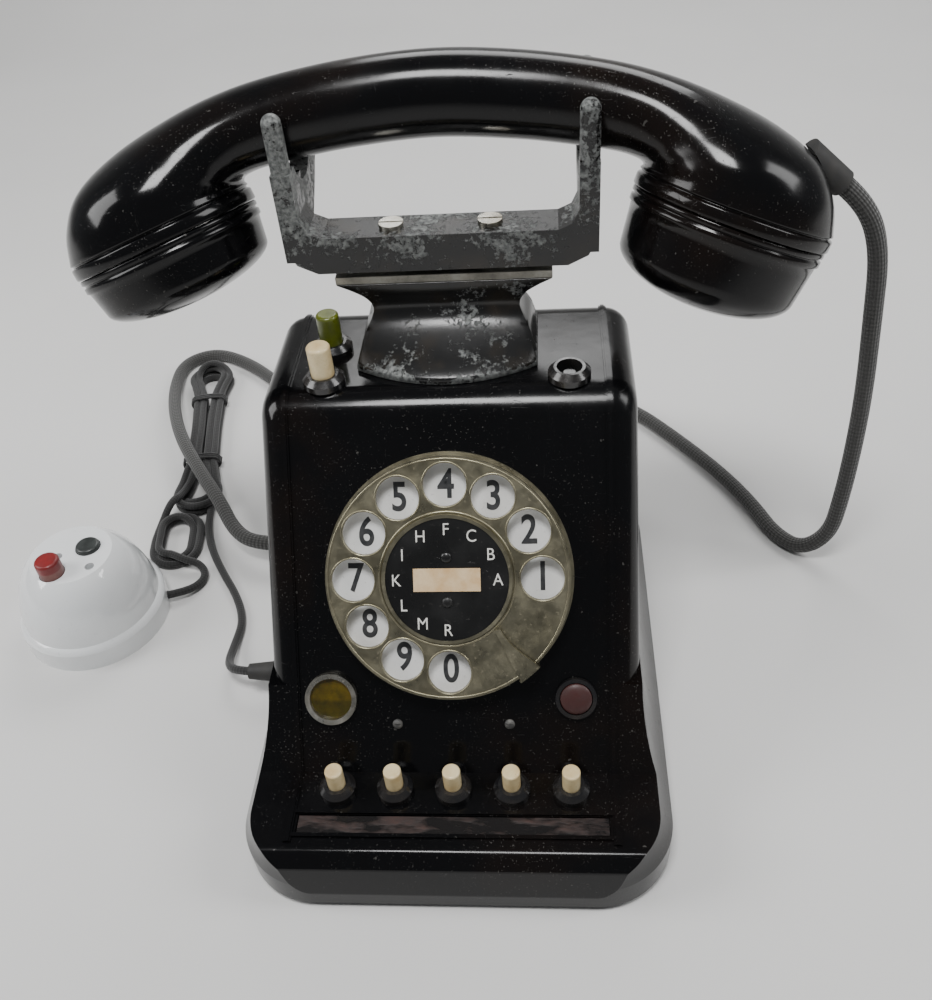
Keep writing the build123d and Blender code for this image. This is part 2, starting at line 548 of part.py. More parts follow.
node("hook_plunger", block(-PLUNGER_W / 2, PLUNGER_W / 2, PLUNGER_Y - PLUNGER_T / 2, PLUNGER_Y + PLUNGER_T / 2,
                           PLUNGER_LOW, BAR_LOW))

# ---- hook switch inside the housing ----
LEVER_PIVOT_Y = 28.0
LEVER_T = 3.0
lever_top = PLUNGER_LOW - GAP
lever = block(-7, 7, LEVER_PIVOT_Y, PLUNGER_Y + 1, lever_top - LEVER_T, lever_top)
lever_hub = Pos(0, LEVER_PIVOT_Y, lever_top - LEVER_T / 2) * Rot(0, 90, 0) * Cylinder(3.5, 14)
pin_hole = Pos(0, LEVER_PIVOT_Y, lever_top - LEVER_T / 2) * Rot(0, 90, 0) * Cylinder(1.5 + RUN, 80)
node("hook_lever", lever + lever_hub - pin_hole)
bracket = block(-12, -8, LEVER_PIVOT_Y - 6, LEVER_PIVOT_Y + 6, lever_top - 8, DECK_Z - WALL)
bracket += block(8, 12, LEVER_PIVOT_Y - 6, LEVER_PIVOT_Y + 6, lever_top - 8, DECK_Z - WALL)
bracket += Pos(0, LEVER_PIVOT_Y, lever_top - LEVER_T / 2) * Rot(0, 90, 0) * Cylinder(1.5, 20)
for i in range(4):
    leaf_z = lever_top - 6 + 3.0 * i
    bracket += block(11, 22, LEVER_PIVOT_Y - 4, LEVER_PIVOT_Y + 3, leaf_z - 1.5, leaf_z + 1.5)
    bracket += block(14, 19, LEVER_PIVOT_Y, LEVER_PIVOT_Y + 22, leaf_z, leaf_z + 0.4)
node("hook_contacts", bracket)

# ---- bell, coil and terminals on the base plate ----
FLOOR_Z = PLATE_Z0 + PLATE_H
GONG_X = 29.0
GONG_R = 24.0
GONG_Y = 48.0
GONG_Z = 22.0
for side, name in ((-1, "bell_gong_left"), (1, "bell_gong_right")):
    dome = Pos(0, 0, GONG_Z) * scale(Sphere(GONG_R), (1, 1, 0.5)) & rod(GONG_R, GONG_Z, GONG_Z + 20)
    hollow = Pos(0, 0, GONG_Z) * scale(Sphere(GONG_R - 1.4), (1, 1, 0.45))
    gong_post = rod(3.0, FLOOR_Z, GONG_Z + 13)
    node(name, Pos(side * GONG_X, GONG_Y, 0) * (dome - hollow + gong_post))
magnet = block(-16, 16, 8, 20, FLOOR_Z, FLOOR_Z + 3)
for x in (-10, 10):
    magnet += Pos(x, 14, 0) * rod(6.0, FLOOR_Z + 2, FLOOR_Z + 20)
magnet += Pos(0, 14, 0) * rod(1.5 - RUN, FLOOR_Z + 2, FLOOR_Z + 30)
node("bell_magnet", magnet)
CLAPPER_Z = FLOOR_Z + 22
clapper = Pos(0, 14, 0) * rod(4.0, CLAPPER_Z, CLAPPER_Z + 3) + block(-11, 11, 12, 16, CLAPPER_Z, CLAPPER_Z + 2)
clapper += block(-0.8, 0.8, 14, GONG_Y, CLAPPER_Z + 0.5, CLAPPER_Z + 2)
clapper += Pos(0, GONG_Y, CLAPPER_Z + 1) * Sphere(2.4)
node("bell_clapper", clapper - Pos(0, 14, 0) * rod(1.5, 0, 60))
coil = block(-46, -22, -38, -16, FLOOR_Z, FLOOR_Z + 2) + Pos(-34, -27, FLOOR_Z + 12) * Rot(0, 90, 0) * Cylinder(9.5, 22)
coil += block(-46, -44, -38, -16, FLOOR_Z, FLOOR_Z + 22) + block(-24, -22, -38, -16, FLOOR_Z, FLOOR_Z + 22)
node("induction_coil", coil)
strip = block(16, 48, -36, -22, FLOOR_Z, FLOOR_Z + 6)
for i in range(5):
    strip += Pos(20 + 6 * i, -29, 0) * rod(2.0, FLOOR_Z + 5, FLOOR_Z + 8)
node("terminal_strip", strip)

# ---- handset, drawn upright about its seat, then leaned ----
seat_at = Location((0, HANDLE_Y, handle_seat_z))
handset_at = seat_at * Rotation(-HANDSET_TILT, 0, 0)
crown = HANDLE_DROP


def cup_at(side):
    """The rim plane of one cup: its local Z points up the cup's axis."""
    return Location((side * CUP_X, 0, -CUP_DROP)) * Rotation(0, side * CUP_LEAN, 0)


RIM_OUT = (CUP_X + CUP_R * math.cos(math.radians(CUP_LEAN)), -CUP_DROP - CUP_R * math.sin(math.radians(CUP_LEAN)))
RIM_IN = (CUP_X - CUP_R * math.cos(math.radians(CUP_LEAN)), -CUP_DROP + CUP_R * math.sin(math.radians(CUP_LEAN)))
# One half of the handset body as oval sections: the point on its back, the point on its palm side, half width.
BODY_SECTIONS = [
    ((0.0, crown + HANDLE_R), (0.0, crown - HANDLE_R), HANDLE_R),
    ((24.0, 15.9), (24.0, -7.9), HANDLE_R),
    ((47.0, 12.4), (42.5, -11.2), 12.2),
    ((64.0, 8.2), (53.0, -14.0), 14.2),
    ((80.0, 1.8), (57.0, -16.6), 19.0),
    ((96.0, -6.6), (58.2, -18.2), 24.5),
    ((108.0, -16.0), (58.4, -19.4), 28.0),
    ((112.8, -29.0), (58.0, -20.5), 29.6),
    (RIM_OUT, RIM_IN, CUP_R)]
GRIP_SECTIONS = 6        # the grip is lofted through this many, and the head from the last of them on


def oval(back, palm, half_width):
    """One section of the handset body, square to the plane of its arch."""
    middle = Vector(back[0] + palm[0], 0, back[1] + palm[1]) / 2
    rise = Vector(back[0], 0, back[1]) - middle
    side = Vector(0, half_width, 0)
    turns = [2 * math.pi * k / 12 for k in range(12)]
    return make_face(Spline(*[middle + rise * math.cos(a) + side * math.sin(a) for a in turns], periodic=True))


ovals = [oval(*section) for section in BODY_SECTIONS]
half_body = loft(ovals[:GRIP_SECTIONS]) + loft(ovals[GRIP_SECTIONS - 1:])
handle = half_body + mirror(half_body, Plane.YZ)


def quarter_oval(radius, height, z0):
    """A curve from the outer edge at height z0, square to it, in to the axis, where it lies flat."""
    at = [(radius * math.cos(math.radians(a)), z0 + height * math.sin(math.radians(a))) for a in (0, 30, 60, 90)]
    return Spline(*at, tangents=[(0, math.copysign(1, height)), (-1, 0)])


for side in (-1, 1):
    handle -= cup_at(side) * rod(CUP_R - 5, -20, 8)
    handle -= cup_at(side) * rod(CUP_R + 12, -40, 0)
node("handset_handle", handset_at * handle)


def cap(side, depth, hollow):
    """A screwed-on cap: a slightly tapered wall below the rim and a low dome that closes it."""
    wall_z = -depth * 0.6
    dome_r = CUP_R - 2.5
    profile = make_face(Wire([Line((0, 0), (CUP_R - 0.4, 0)), Line((CUP_R - 0.4, 0), (dome_r, wall_z)),
                              quarter_oval(dome_r, -depth - wall_z, wall_z),
                              Line((0, -depth), (0, 0))]))
    return cup_at(side) * (revolve(Plane.XZ * profile, Axis.Z) - rod(CUP_R - 6, -hollow, 3))


node("ear_cap", handset_at * cap(-1, EAR_CAP_H, 8.0))
node("mouth_cap", handset_at * cap(1, MOUTH_CAP_H, 8.0))
for side, name in ((-1, "receiver_capsule"), (1, "transmitter_capsule")):
    capsule = rod(CUP_R - 6.5, -7.5, 4.0) + rod(CUP_R - 12, 3.5, 7.0)
    node(name, handset_at * (cup_at(side) * capsule))

# Strain relief on the outer end of the mouthpiece head.
relief_dir = Vector(0.80, 0.0, -0.60).normalized()
relief_start = Vector(107.5, 52.0, 169.0)
RELIEF_L = 12.0
relief_plane = Plane(origin=relief_start, z_dir=relief_dir)
relief_bore = rod(CORD_R + SEAT, RELIEF_L - 4.0, RELIEF_L + 5)
relief = relief_plane.location * (cone(5.2, CORD_R + 1.0, -3, RELIEF_L) - relief_bore)
solid_handle = NODES["handset_handle"][0]
relief = relief - solid_handle
node("handset_cord_relief", *[s for s in relief.solids() if s.volume > 50])


# ---- cords ----
def cord_solid(name, points, radius, at_least):
    """A tube of straight runs joined by the largest tangent arcs that fit."""
    pts = [Vector(*p) for p in points]
    radii = []
    for a, b, c in zip(pts, pts[1:], pts[2:]):
        turn = (b - a).get_angle(c - b)
        if turn < 1.5 or turn > 90:
            print(name, "turns", round(turn, 1), "degrees at", b)
        radii.append(0.45 * min((b - a).length, (c - b).length) / math.tan(math.radians(turn) / 2))
    path = FilletPolyline(*points, radius=radii)
    section = Plane(origin=pts[0], z_dir=pts[1] - pts[0]) * Circle(radius)
    tube = sweep(section, path=path)
    expected = math.pi * radius ** 2 * path.length
    print(name, "length", round(path.length, 1), "radii", [round(r, 1) for r in radii], "wanted", at_least,
          "volume ratio", round(tube.volume / expected, 4))
    node(name, tube)
    return path.length


relief_end = relief_start + relief_dir * (RELIEF_L - 4.0)
relief_out = relief_start + relief_dir * (RELIEF_L + 9.0)
GLAND_END_X = side_wall_x - 12.0 + 4.0
HANDSET_CORD = [
    tuple(relief_end), tuple(relief_out), (132.5, 54.0, 140.0), (136.5, 57.2, 112.0), (139.8, 58.0, 82.0),
    (141.0, 58.4, 56.0), (140.9, 58.2, 33.0), (139.8, 58.4, 14.0), (131.0, 60.5, 3.6), (122.0, 70.0, 3.2),
    (116.0, 88.0, 3.2),
    (106.0, 108.0, 3.2), (90.0, 132.0, 3.2), (70.0, 158.0, 3.2), (42.0, 174.0, 3.2), (12.0, 168.0, 3.2),
    (-10.0, 148.0, 3.2), (-36.0, 136.0, 3.2), (-64.0, 142.0, 3.2), (-86.0, 163.0, 3.2), (-107.0, 186.0, 3.2),
    (-127.0, 205.5, 3.2), (-147.0, 216.0, 3.2), (-162.5, 206.0, 3.2), (-161.0, 183.0, 4.0), (-152.5, 156.0, 9.0),
    (-141.0, 130.0, 12.4), (-126.0, 106.0, 12.6), (-112.0, 86.0, 12.2), (-102.0, 69.0, 10.0),
    (-90.0, HANDSET_GLAND_Y, GLAND_Z), (GLAND_END_X, HANDSET_GLAND_Y, GLAND_Z)]
cord_solid("handset_cord", HANDSET_CORD, CORD_R, 5 * 2 * CORD_R)

# The line cord: a lead to the tied hank, the hank, the small coil, and a tail to the button box.
side_end = (GLAND_END_X, LINE_GLAND_Y, GLAND_Z)
HANK_LOW = (-125.0, 89.0)
LINE_LEAD = [side_end, (-84.0, LINE_GLAND_Y, GLAND_Z), (-90.0, 1.0, 6.4), (-91.0, 13.0, 2.4), (-90.4, 26.0, 1.8),
             (-95.8, 39.0, 1.8), (-106.0, 54.0, 1.8), (-115.0, 71.0, 1.8), (-121.6, 89.0, 3.2)]
cord_solid("line_cord_lead", LINE_LEAD, LINE_R, 5 * 2 * LINE_R)


def pillow(length, width, height, z0):
    """A flattened round-ended solid along Y: the outer shape of wound cord."""
    body = SlotOverall(length, width, rotation=90)
    solid = extrude(body, amount=height)
    return Pos(0, 0, z0) * fillet(solid.edges().group_by(Axis.Z)[-1], height * 0.3)


HANK_L = 112.0
HANK_W = 22.0
HANK_H = 7.6
hank_dir = 10.0
hank = Rot(0, 0, hank_dir) * Pos(0, HANK_L / 2, 0) * pillow(HANK_L, HANK_W, HANK_H, 0.2)
node("line_hank", Pos(*HANK_LOW, 0) * hank)
COIL_AT = (-130.0, 72.5)
COIL_L = 32.0
COIL_W = 21.0
node("line_coil", Pos(*COIL_AT, 0) * Rot(0, 0, 8) * pillow(COIL_L, COIL_W, HANK_H, 0.2))
BOX_AT = (-151.8, 31.5)
BOX_R = 28.5
BOX_H = 35.0
SKIRT_H = 9.0         # the box's upright skirt, with a shoulder above it
SHOULDER = 2.0
BOX_TOP_R = 15.5
INLET_TURN = 15.0
INLET_RUN = 6.7       # straight cord outside the box
INLET_Z = 3.6
inlet_x = BOX_AT[0] + (BOX_R - 1.0) * math.cos(math.radians(INLET_TURN))
inlet_y = BOX_AT[1] + (BOX_R - 1.0) * math.sin(math.radians(INLET_TURN))
run_x = BOX_AT[0] + (BOX_R + INLET_RUN) * math.cos(math.radians(INLET_TURN))
run_y = BOX_AT[1] + (BOX_R + INLET_RUN) * math.sin(math.radians(INLET_TURN))
LINE_TAIL = [(-119.6, 68.0, 3.8), (-113.9, 61.8, 3.2), (-111.4, 53.5, 2.8), (-112.6, 46.0, 3.0),
             (run_x, run_y, INLET_Z), (inlet_x, inlet_y, INLET_Z)]
cord_solid("line_cord_tail", LINE_TAIL, LINE_R, 3 * 2 * LINE_R)

# ---- porcelain push-button box at the cord's far end ----
shoulder_r = BOX_R - SHOULDER
dome_curve = Spline((shoulder_r, SKIRT_H + 1.6), (shoulder_r - 1.2, SKIRT_H + 9), (shoulder_r - 4.4, SKIRT_H + 18),
                    (BOX_TOP_R, BOX_H))
dome_face = make_face(Wire([Line((0, 0), (BOX_R, 0)), Line((BOX_R, 0), (BOX_R, SKIRT_H - 0.8)),
                            Spline((BOX_R, SKIRT_H - 0.8), (BOX_R - 0.6, SKIRT_H + 0.3), (shoulder_r, SKIRT_H + 1.6)),
                            dome_curve, Line((BOX_TOP_R, BOX_H), (0, BOX_H)), Line((0, BOX_H), (0, 0))]))
dome = revolve(Plane.XZ * dome_face, Axis.Z)
hollow = rod(BOX_R - 5, -1, 13) + rod(BOX_R - 9, 12, 24)
WALL_BUTTON_AT = [(-3.8, -9.8), (5.5, 3.8)]
WALL_HOLE_AT = [(-4.8, -1.2), (9.6, -6.6)]
WALL_HOLE_R = 1.8
WALL_BUTTON_R = 4.6
box = dome - hollow
for x, y in WALL_BUTTON_AT:
    box -= Pos(x, y, 0) * rod(WALL_BUTTON_R + SLIDE, 10, 50)
for x, y in WALL_HOLE_AT:
    box -= Pos(x, y, 0) * rod(WALL_HOLE_R, 10, 50)
box -= Rot(0, 0, INLET_TURN) * Pos(BOX_R, 0, INLET_Z) * Rot(0, 90, 0) * Cylinder(LINE_R + SLIDE, 20)
box_at = Pos(*BOX_AT, 0)
node("wall_box_shell", box_at * box)
red_top, black_top = BOX_H + 7.0, BOX_H + 1.6
for name, (x, y), top in (("wall_button_red", WALL_BUTTON_AT[0], red_top),
                          ("wall_button_black", WALL_BUTTON_AT[1], black_top)):
    stem = fillet(rod(WALL_BUTTON_R, 12, top).edges().group_by(Axis.Z)[-1], 1.2)
    node(name, box_at * Pos(x, y, 0) * stem)

# ---- write the pieces ----
os.makedirs("parts", exist_ok=True)
for name, solids in NODES.items():
    flat = []
    for shape in solids:
        flat.extend(shape.solids())
    whole = flat[0] if len(flat) == 1 else Compound(children=flat)
    whole.label = name
    export_step(whole, f"parts/{name}.step")
print(len(NODES), "nodes")
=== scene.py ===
import json
import math

import bpy
from mathutils import Matrix, Vector


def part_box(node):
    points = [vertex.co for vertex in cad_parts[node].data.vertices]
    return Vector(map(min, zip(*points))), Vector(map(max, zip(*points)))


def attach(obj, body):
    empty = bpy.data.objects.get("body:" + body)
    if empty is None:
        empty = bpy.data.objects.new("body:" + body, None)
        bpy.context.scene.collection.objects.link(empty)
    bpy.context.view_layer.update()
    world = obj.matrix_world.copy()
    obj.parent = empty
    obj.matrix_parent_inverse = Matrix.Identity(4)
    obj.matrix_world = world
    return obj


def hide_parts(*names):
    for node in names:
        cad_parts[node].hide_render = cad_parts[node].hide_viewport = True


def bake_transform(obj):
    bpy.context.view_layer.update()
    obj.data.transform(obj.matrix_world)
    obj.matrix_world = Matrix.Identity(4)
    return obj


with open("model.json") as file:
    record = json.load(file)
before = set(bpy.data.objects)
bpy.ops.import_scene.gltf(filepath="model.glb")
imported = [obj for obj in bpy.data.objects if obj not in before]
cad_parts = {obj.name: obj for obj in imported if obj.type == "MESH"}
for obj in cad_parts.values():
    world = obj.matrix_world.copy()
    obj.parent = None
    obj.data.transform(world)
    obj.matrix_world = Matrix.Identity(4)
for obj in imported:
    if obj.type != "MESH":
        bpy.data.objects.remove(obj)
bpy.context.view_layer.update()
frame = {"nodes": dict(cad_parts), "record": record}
NODES = frame["nodes"]

MM = 0.001
FACE_TILT = math.radians(35.6)  # the dial face leans back this far from upright
FACE_MIDDLE = Vector((0, -0.0189, 0.0740))  # the dial's middle on the housing's face
HOLE_CIRCLE_R = 28.5 * MM
HOLE_PITCH = 30  # degrees
CORD_D = 6.0 * MM
LINE_D = 3.2 * MM
CORD_SIDES = 24
LINE_SIDES = 14


# ---------------------------------------------------------------- camera
def make_camera():
    azimuth, elevation, roll = (math.radians(a) for a in (6.52, 41.877, -5.351))
    back = Vector((math.sin(azimuth) * math.cos(elevation), -math.cos(azimuth) * math.cos(elevation),
                   math.sin(elevation)))
    right = (-back).cross(Vector((0, 0, 1))).normalized()
    up = right.cross(-back)
    turned_right = right * math.cos(roll) + up * math.sin(roll)
    turned_up = up * math.cos(roll) - right * math.sin(roll)
    data = bpy.data.cameras.new("camera")
    data.sensor_width = 36.0
    data.lens = 35.82
    data.clip_start = 0.01
    camera = bpy.data.objects.new("camera", data)
    camera.matrix_world = Matrix.Translation((0.0312, -0.2282, 0.2937)) @ Matrix(
        (turned_right, turned_up, back)).transposed().to_4x4()
    bpy.context.scene.collection.objects.link(camera)
    bpy.context.scene.camera = camera


make_camera()


# ---------------------------------------------------------------- cords
def spline_points(route, samples):
    """Points along the smooth curve that has the route, in millimetres, as its control points."""
    curve = bpy.data.curves.new("route", "CURVE")
    curve.dimensions = "3D"
    curve.resolution_u = samples
    spline = curve.splines.new("NURBS")
    spline.points.add(len(route) - 1)
    for point, at in zip(spline.points, route):
        point.co = (*(c * MM for c in at), 1.0)
    spline.order_u = 3
    spline.use_endpoint_u = True
    holder = bpy.data.objects.new("route", curve)
    bpy.context.scene.collection.objects.link(holder)
    line = bpy.data.meshes.new_from_object(holder)
    points = [v.co.copy() for v in line.vertices]
    bpy.data.objects.remove(holder)
    bpy.data.meshes.remove(line)
    bpy.data.curves.remove(curve)
    return points


def add_mesh(name, verts, faces, smooth=True):
    mesh = bpy.data.meshes.new(name)
    mesh.from_pydata([tuple(v) for v in verts], [], faces)
    mesh.polygons.foreach_set("use_smooth", [smooth] * len(mesh.polygons))
    piece = bpy.data.objects.new(name, mesh)
    bpy.context.scene.collection.objects.link(piece)
    return piece


def tube(name, points, radius, sides):
    """A closed round tube along points, with a UV map: U once round, V the length in metres."""
    last = len(points) - 1
    tangents = [(points[min(i + 1, last)] - points[max(i - 1, 0)]).normalized() for i in range(last + 1)]
    normal = tangents[0].orthogonal().normalized()
    verts, lengths, run = [], [], 0.0
    for i, (at, along) in enumerate(zip(points, tangents)):
        if i:
            normal = (normal - along * normal.dot(along)).normalized()
            run += (at - points[i - 1]).length
        side = along.cross(normal)
        lengths.append(run)
        turns = [2 * math.pi * k / sides for k in range(sides)]
        verts += [at + (normal * math.cos(a) + side * math.sin(a)) * radius for a in turns]
    faces, uvs = [], []
    for i in range(last):
        for k in range(sides):
            a, b = i * sides + k, i * sides + (k + 1) % sides
            faces.append((a, b, b + sides, a + sides))
            u0, u1 = k / sides, (k + 1) / sides
            uvs += [(u0, lengths[i]), (u1, lengths[i]), (u1, lengths[i + 1]), (u0, lengths[i + 1])]
    faces.append(tuple(range(sides))[::-1])
    faces.append(tuple(last * sides + k for k in range(sides)))
    uvs += [(0, 0)] * (2 * sides)
    piece = add_mesh(name, verts, faces)
    layer = piece.data.uv_layers.new(name="UVMap")
    for loop, uv in zip(layer.data, uvs):
        loop.uv = uv
    return piece


HANDSET_CORD = [
    (114.7, 52.0, 163.6), (124.3, 52.0, 156.4), (132.5, 54.0, 140.0), (136.5, 57.2, 112.0),
    (139.8, 58.0, 82.0), (141.0, 58.4, 56.0), (140.9, 58.2, 33.0), (139.8, 58.4, 14.0),
    (131.0, 60.5, 3.6), (122.0, 70.0, 3.2), (116.0, 88.0, 3.2), (106.0, 108.0, 3.2),
    (90.0, 132.0, 3.2), (70.0, 158.0, 3.2), (42.0, 174.0, 3.2), (12.0, 168.0, 3.2),
    (-10.0, 148.0, 3.2), (-36.0, 136.0, 3.2), (-64.0, 142.0, 3.2), (-86.0, 163.0, 3.2),
    (-107.0, 186.0, 3.2), (-127.0, 205.5, 3.2), (-147.0, 216.0, 3.2), (-162.5, 206.0, 3.2),
    (-161.0, 183.0, 4.0), (-152.5, 156.0, 9.0), (-141.0, 130.0, 12.4), (-126.0, 106.0, 12.6),
    (-112.0, 86.0, 12.2), (-102.0, 69.0, 10.0), (-90.0, 60.0, 11.0), (-75.0, 60.0, 11.0)]

GLAND_Z = 11.0
LINE_LEAD = [(-75.0, -6.0, GLAND_Z), (-84.0, -6.0, GLAND_Z), (-90.0, 1.0, 6.4), (-91.0, 13.0, 2.4),
             (-90.4, 26.0, 1.8), (-95.8, 39.0, 1.8), (-106.0, 54.0, 1.8), (-114.6, 69.0, 1.8),
             (-119.4, 84.0, 1.8)]
LINE_LINK = [(-133.6, 96.0, 6.6), (-134.4, 92.0, 8.9), (-136.0, 87.0, 8.6), (-138.6, 82.0, 4.0)]
LINE_TAIL = [(-121.5, 57.2, 5.3), (-115.5, 56.6, 3.4), (-112.0, 52.0, 1.9), (-113.0, 46.0, 2.2),
             (-117.8, 40.6, 3.6), (-125.2, 38.6, 3.6)]

# The wound cord, in millimetres: two layers, each with an outer and an inner turn.
LAYER_LOW = 1.8
LAYER_HIGH = 5.3
CROSSING_RISE = 3.4  # how far the last turn rides up over the others
LOOP_OUTER = 9.7
LOOP_INNER = 6.4
TURN_STEPS = 8  # points in each half circle of a turn
STRAND_STEPS = 12  # pieces of each long side
TIE_REACH = 8.0  # how far along the bundle a tie draws it in
CLOSED = LOOP_INNER - 0.53 * LINE_D / MM  # how far in the strands go where they touch


def ease(t):
    return t * t * (3 - 2 * t)


def loop_end(radii, heights, half, top):
    """Half a turn round one end of a wound loop, as its radius and height go through three values each."""
    made = []
    for k in range(TURN_STEPS + 1):
        share = k / TURN_STEPS
        first = share < 0.5
        t = ease(share * 2 if first else share * 2 - 1)
        r = radii[0 if first else 1] * (1 - t) + radii[1 if first else 2] * t
        z = heights[0 if first else 1] * (1 - t) + heights[1 if first else 2] * t
        turn = math.pi * share + (0 if top else math.pi)
        made.append((r * math.cos(turn), (half if top else -half) + r * math.sin(turn), z))
    return made


def strand(x, half, z, up, ties):
    """A long side of a loop: it runs in towards the middle where a tie draws the bundle together."""
    made = []
    for k in range(1, STRAND_STEPS):
        y = (-half + 2 * half * k / STRAND_STEPS) * (1 if up else -1)
        near = max(math.exp(-(((y - tie) / TIE_REACH) ** 2)) for tie in ties)
        slack = 0.94 * math.sin(math.pi * k / STRAND_STEPS) ** 0.5
        made.append((x - math.copysign(max(near, slack) * CLOSED, x), y, z))
    return made


def placed(points, centre, turn):
    c, s = math.cos(math.radians(turn)), math.sin(math.radians(turn))
    return [(centre[0] + x * c - y * s, centre[1] + x * s + y * c, z) for x, y, z in points]


HANK_CENTRE = (-134.7, 144.2)
HANK_TURN = 10.0
HANK_HALF = 45.0
HANK_TIES = (-22.0, 26.0)
COIL_CENTRE = (-130.0, 72.5)
COIL_TURN = 8.0
COIL_HALF = 5.5


def hank():
    low, high, wide, slim = LAYER_LOW, LAYER_HIGH, LOOP_OUTER, LOOP_INNER
    half, ties = HANK_HALF, HANK_TIES
    over = high + CROSSING_RISE
    made = strand(wide, half, low, True, ties) + loop_end((wide,) * 3, (low,) * 3, half, True)
    made += strand(-wide, half, low, False, ties) + loop_end((wide, wide, slim), (low,) * 3, half, False)
    made += strand(slim, half, low, True, ties) + loop_end((slim,) * 3, (low,) * 3, half, True)
    made += strand(-slim, half, low, False, ties) + loop_end((slim,) * 3, (low, high, high), half, False)
    made += strand(slim, half, high, True, ties) + loop_end((slim, wide, wide), (high,) * 3, half, True)
    made += strand(-wide, half, high, False, ties) + loop_end((wide,) * 3, (high,) * 3, half, False)
    made += strand(wide, half, high, True, ties)
    made += loop_end((wide, wide, slim), (high, over, high), half, True)
    made += strand(-slim, half, high, False, ties)
    return placed(made, HANK_CENTRE, HANK_TURN)


def coil():
    low, high, wide, slim, half = LAYER_LOW, LAYER_HIGH, LOOP_OUTER, LOOP_INNER, COIL_HALF
    made = [(-wide, 2.0, low), (-wide, -2.0, low)] + loop_end((wide,) * 3, (low,) * 3, half, False)
    made += [(wide, 0.0, low)] + loop_end((wide, wide, slim), (low,) * 3, half, True)
    made += [(-slim, 0.0, low)] + loop_end((slim,) * 3, (low,) * 3, half, False)
    made += [(slim, 0.0, low)] + loop_end((slim,) * 3, (low, high, high), half, True)
    made += [(-slim, 0.0, high)] + loop_end((slim,) * 3, (high,) * 3, half, False)[:5]
    return placed(made, COIL_CENTRE, COIL_TURN)


handset_line = spline_points(HANDSET_CORD, 10)
handset_cord = tube("handset_cord_braid", handset_line, CORD_D / 2, CORD_SIDES)
line_points = spline_points(LINE_LEAD + hank() + LINE_LINK + coil() + LINE_TAIL, 5)
line_cord = tube("line_cord_all", line_points, LINE_D / 2, LINE_SIDES)


TIE_TURNS = 3
TIE_PITCH = 1.3
TWINE_R = 0.55 * MM
SQUARENESS = 0.6  # below 1, the lashing's section is a rounded rectangle


def tie(name, at, turn, width, height):
    """A lashing of thin twine round a flat bundle, of the given half width and half height."""
    route = []
    for k in range(TIE_TURNS * 12 + 1):
        a = 2 * math.pi * k / 12
        c, s = math.cos(a), math.sin(a)
        across = width * math.copysign(abs(c) ** SQUARENESS, c)
        up = height * (1 + math.copysign(abs(s) ** SQUARENESS, s)) + 0.2
        route.append((across, (k / 12 - TIE_TURNS / 2) * TIE_PITCH, up))
    piece = tube(name, spline_points(placed(route, at, turn), 4), TWINE_R, 8)
    return piece


def along_hank(y):
    return placed([(0, y, 0)], HANK_CENTRE, HANK_TURN)[0][:2]


ties = [tie(f"hank_tie_{i}", along_hank(y), HANK_TURN, 8.6, 3.9) for i, y in enumerate(HANK_TIES)]


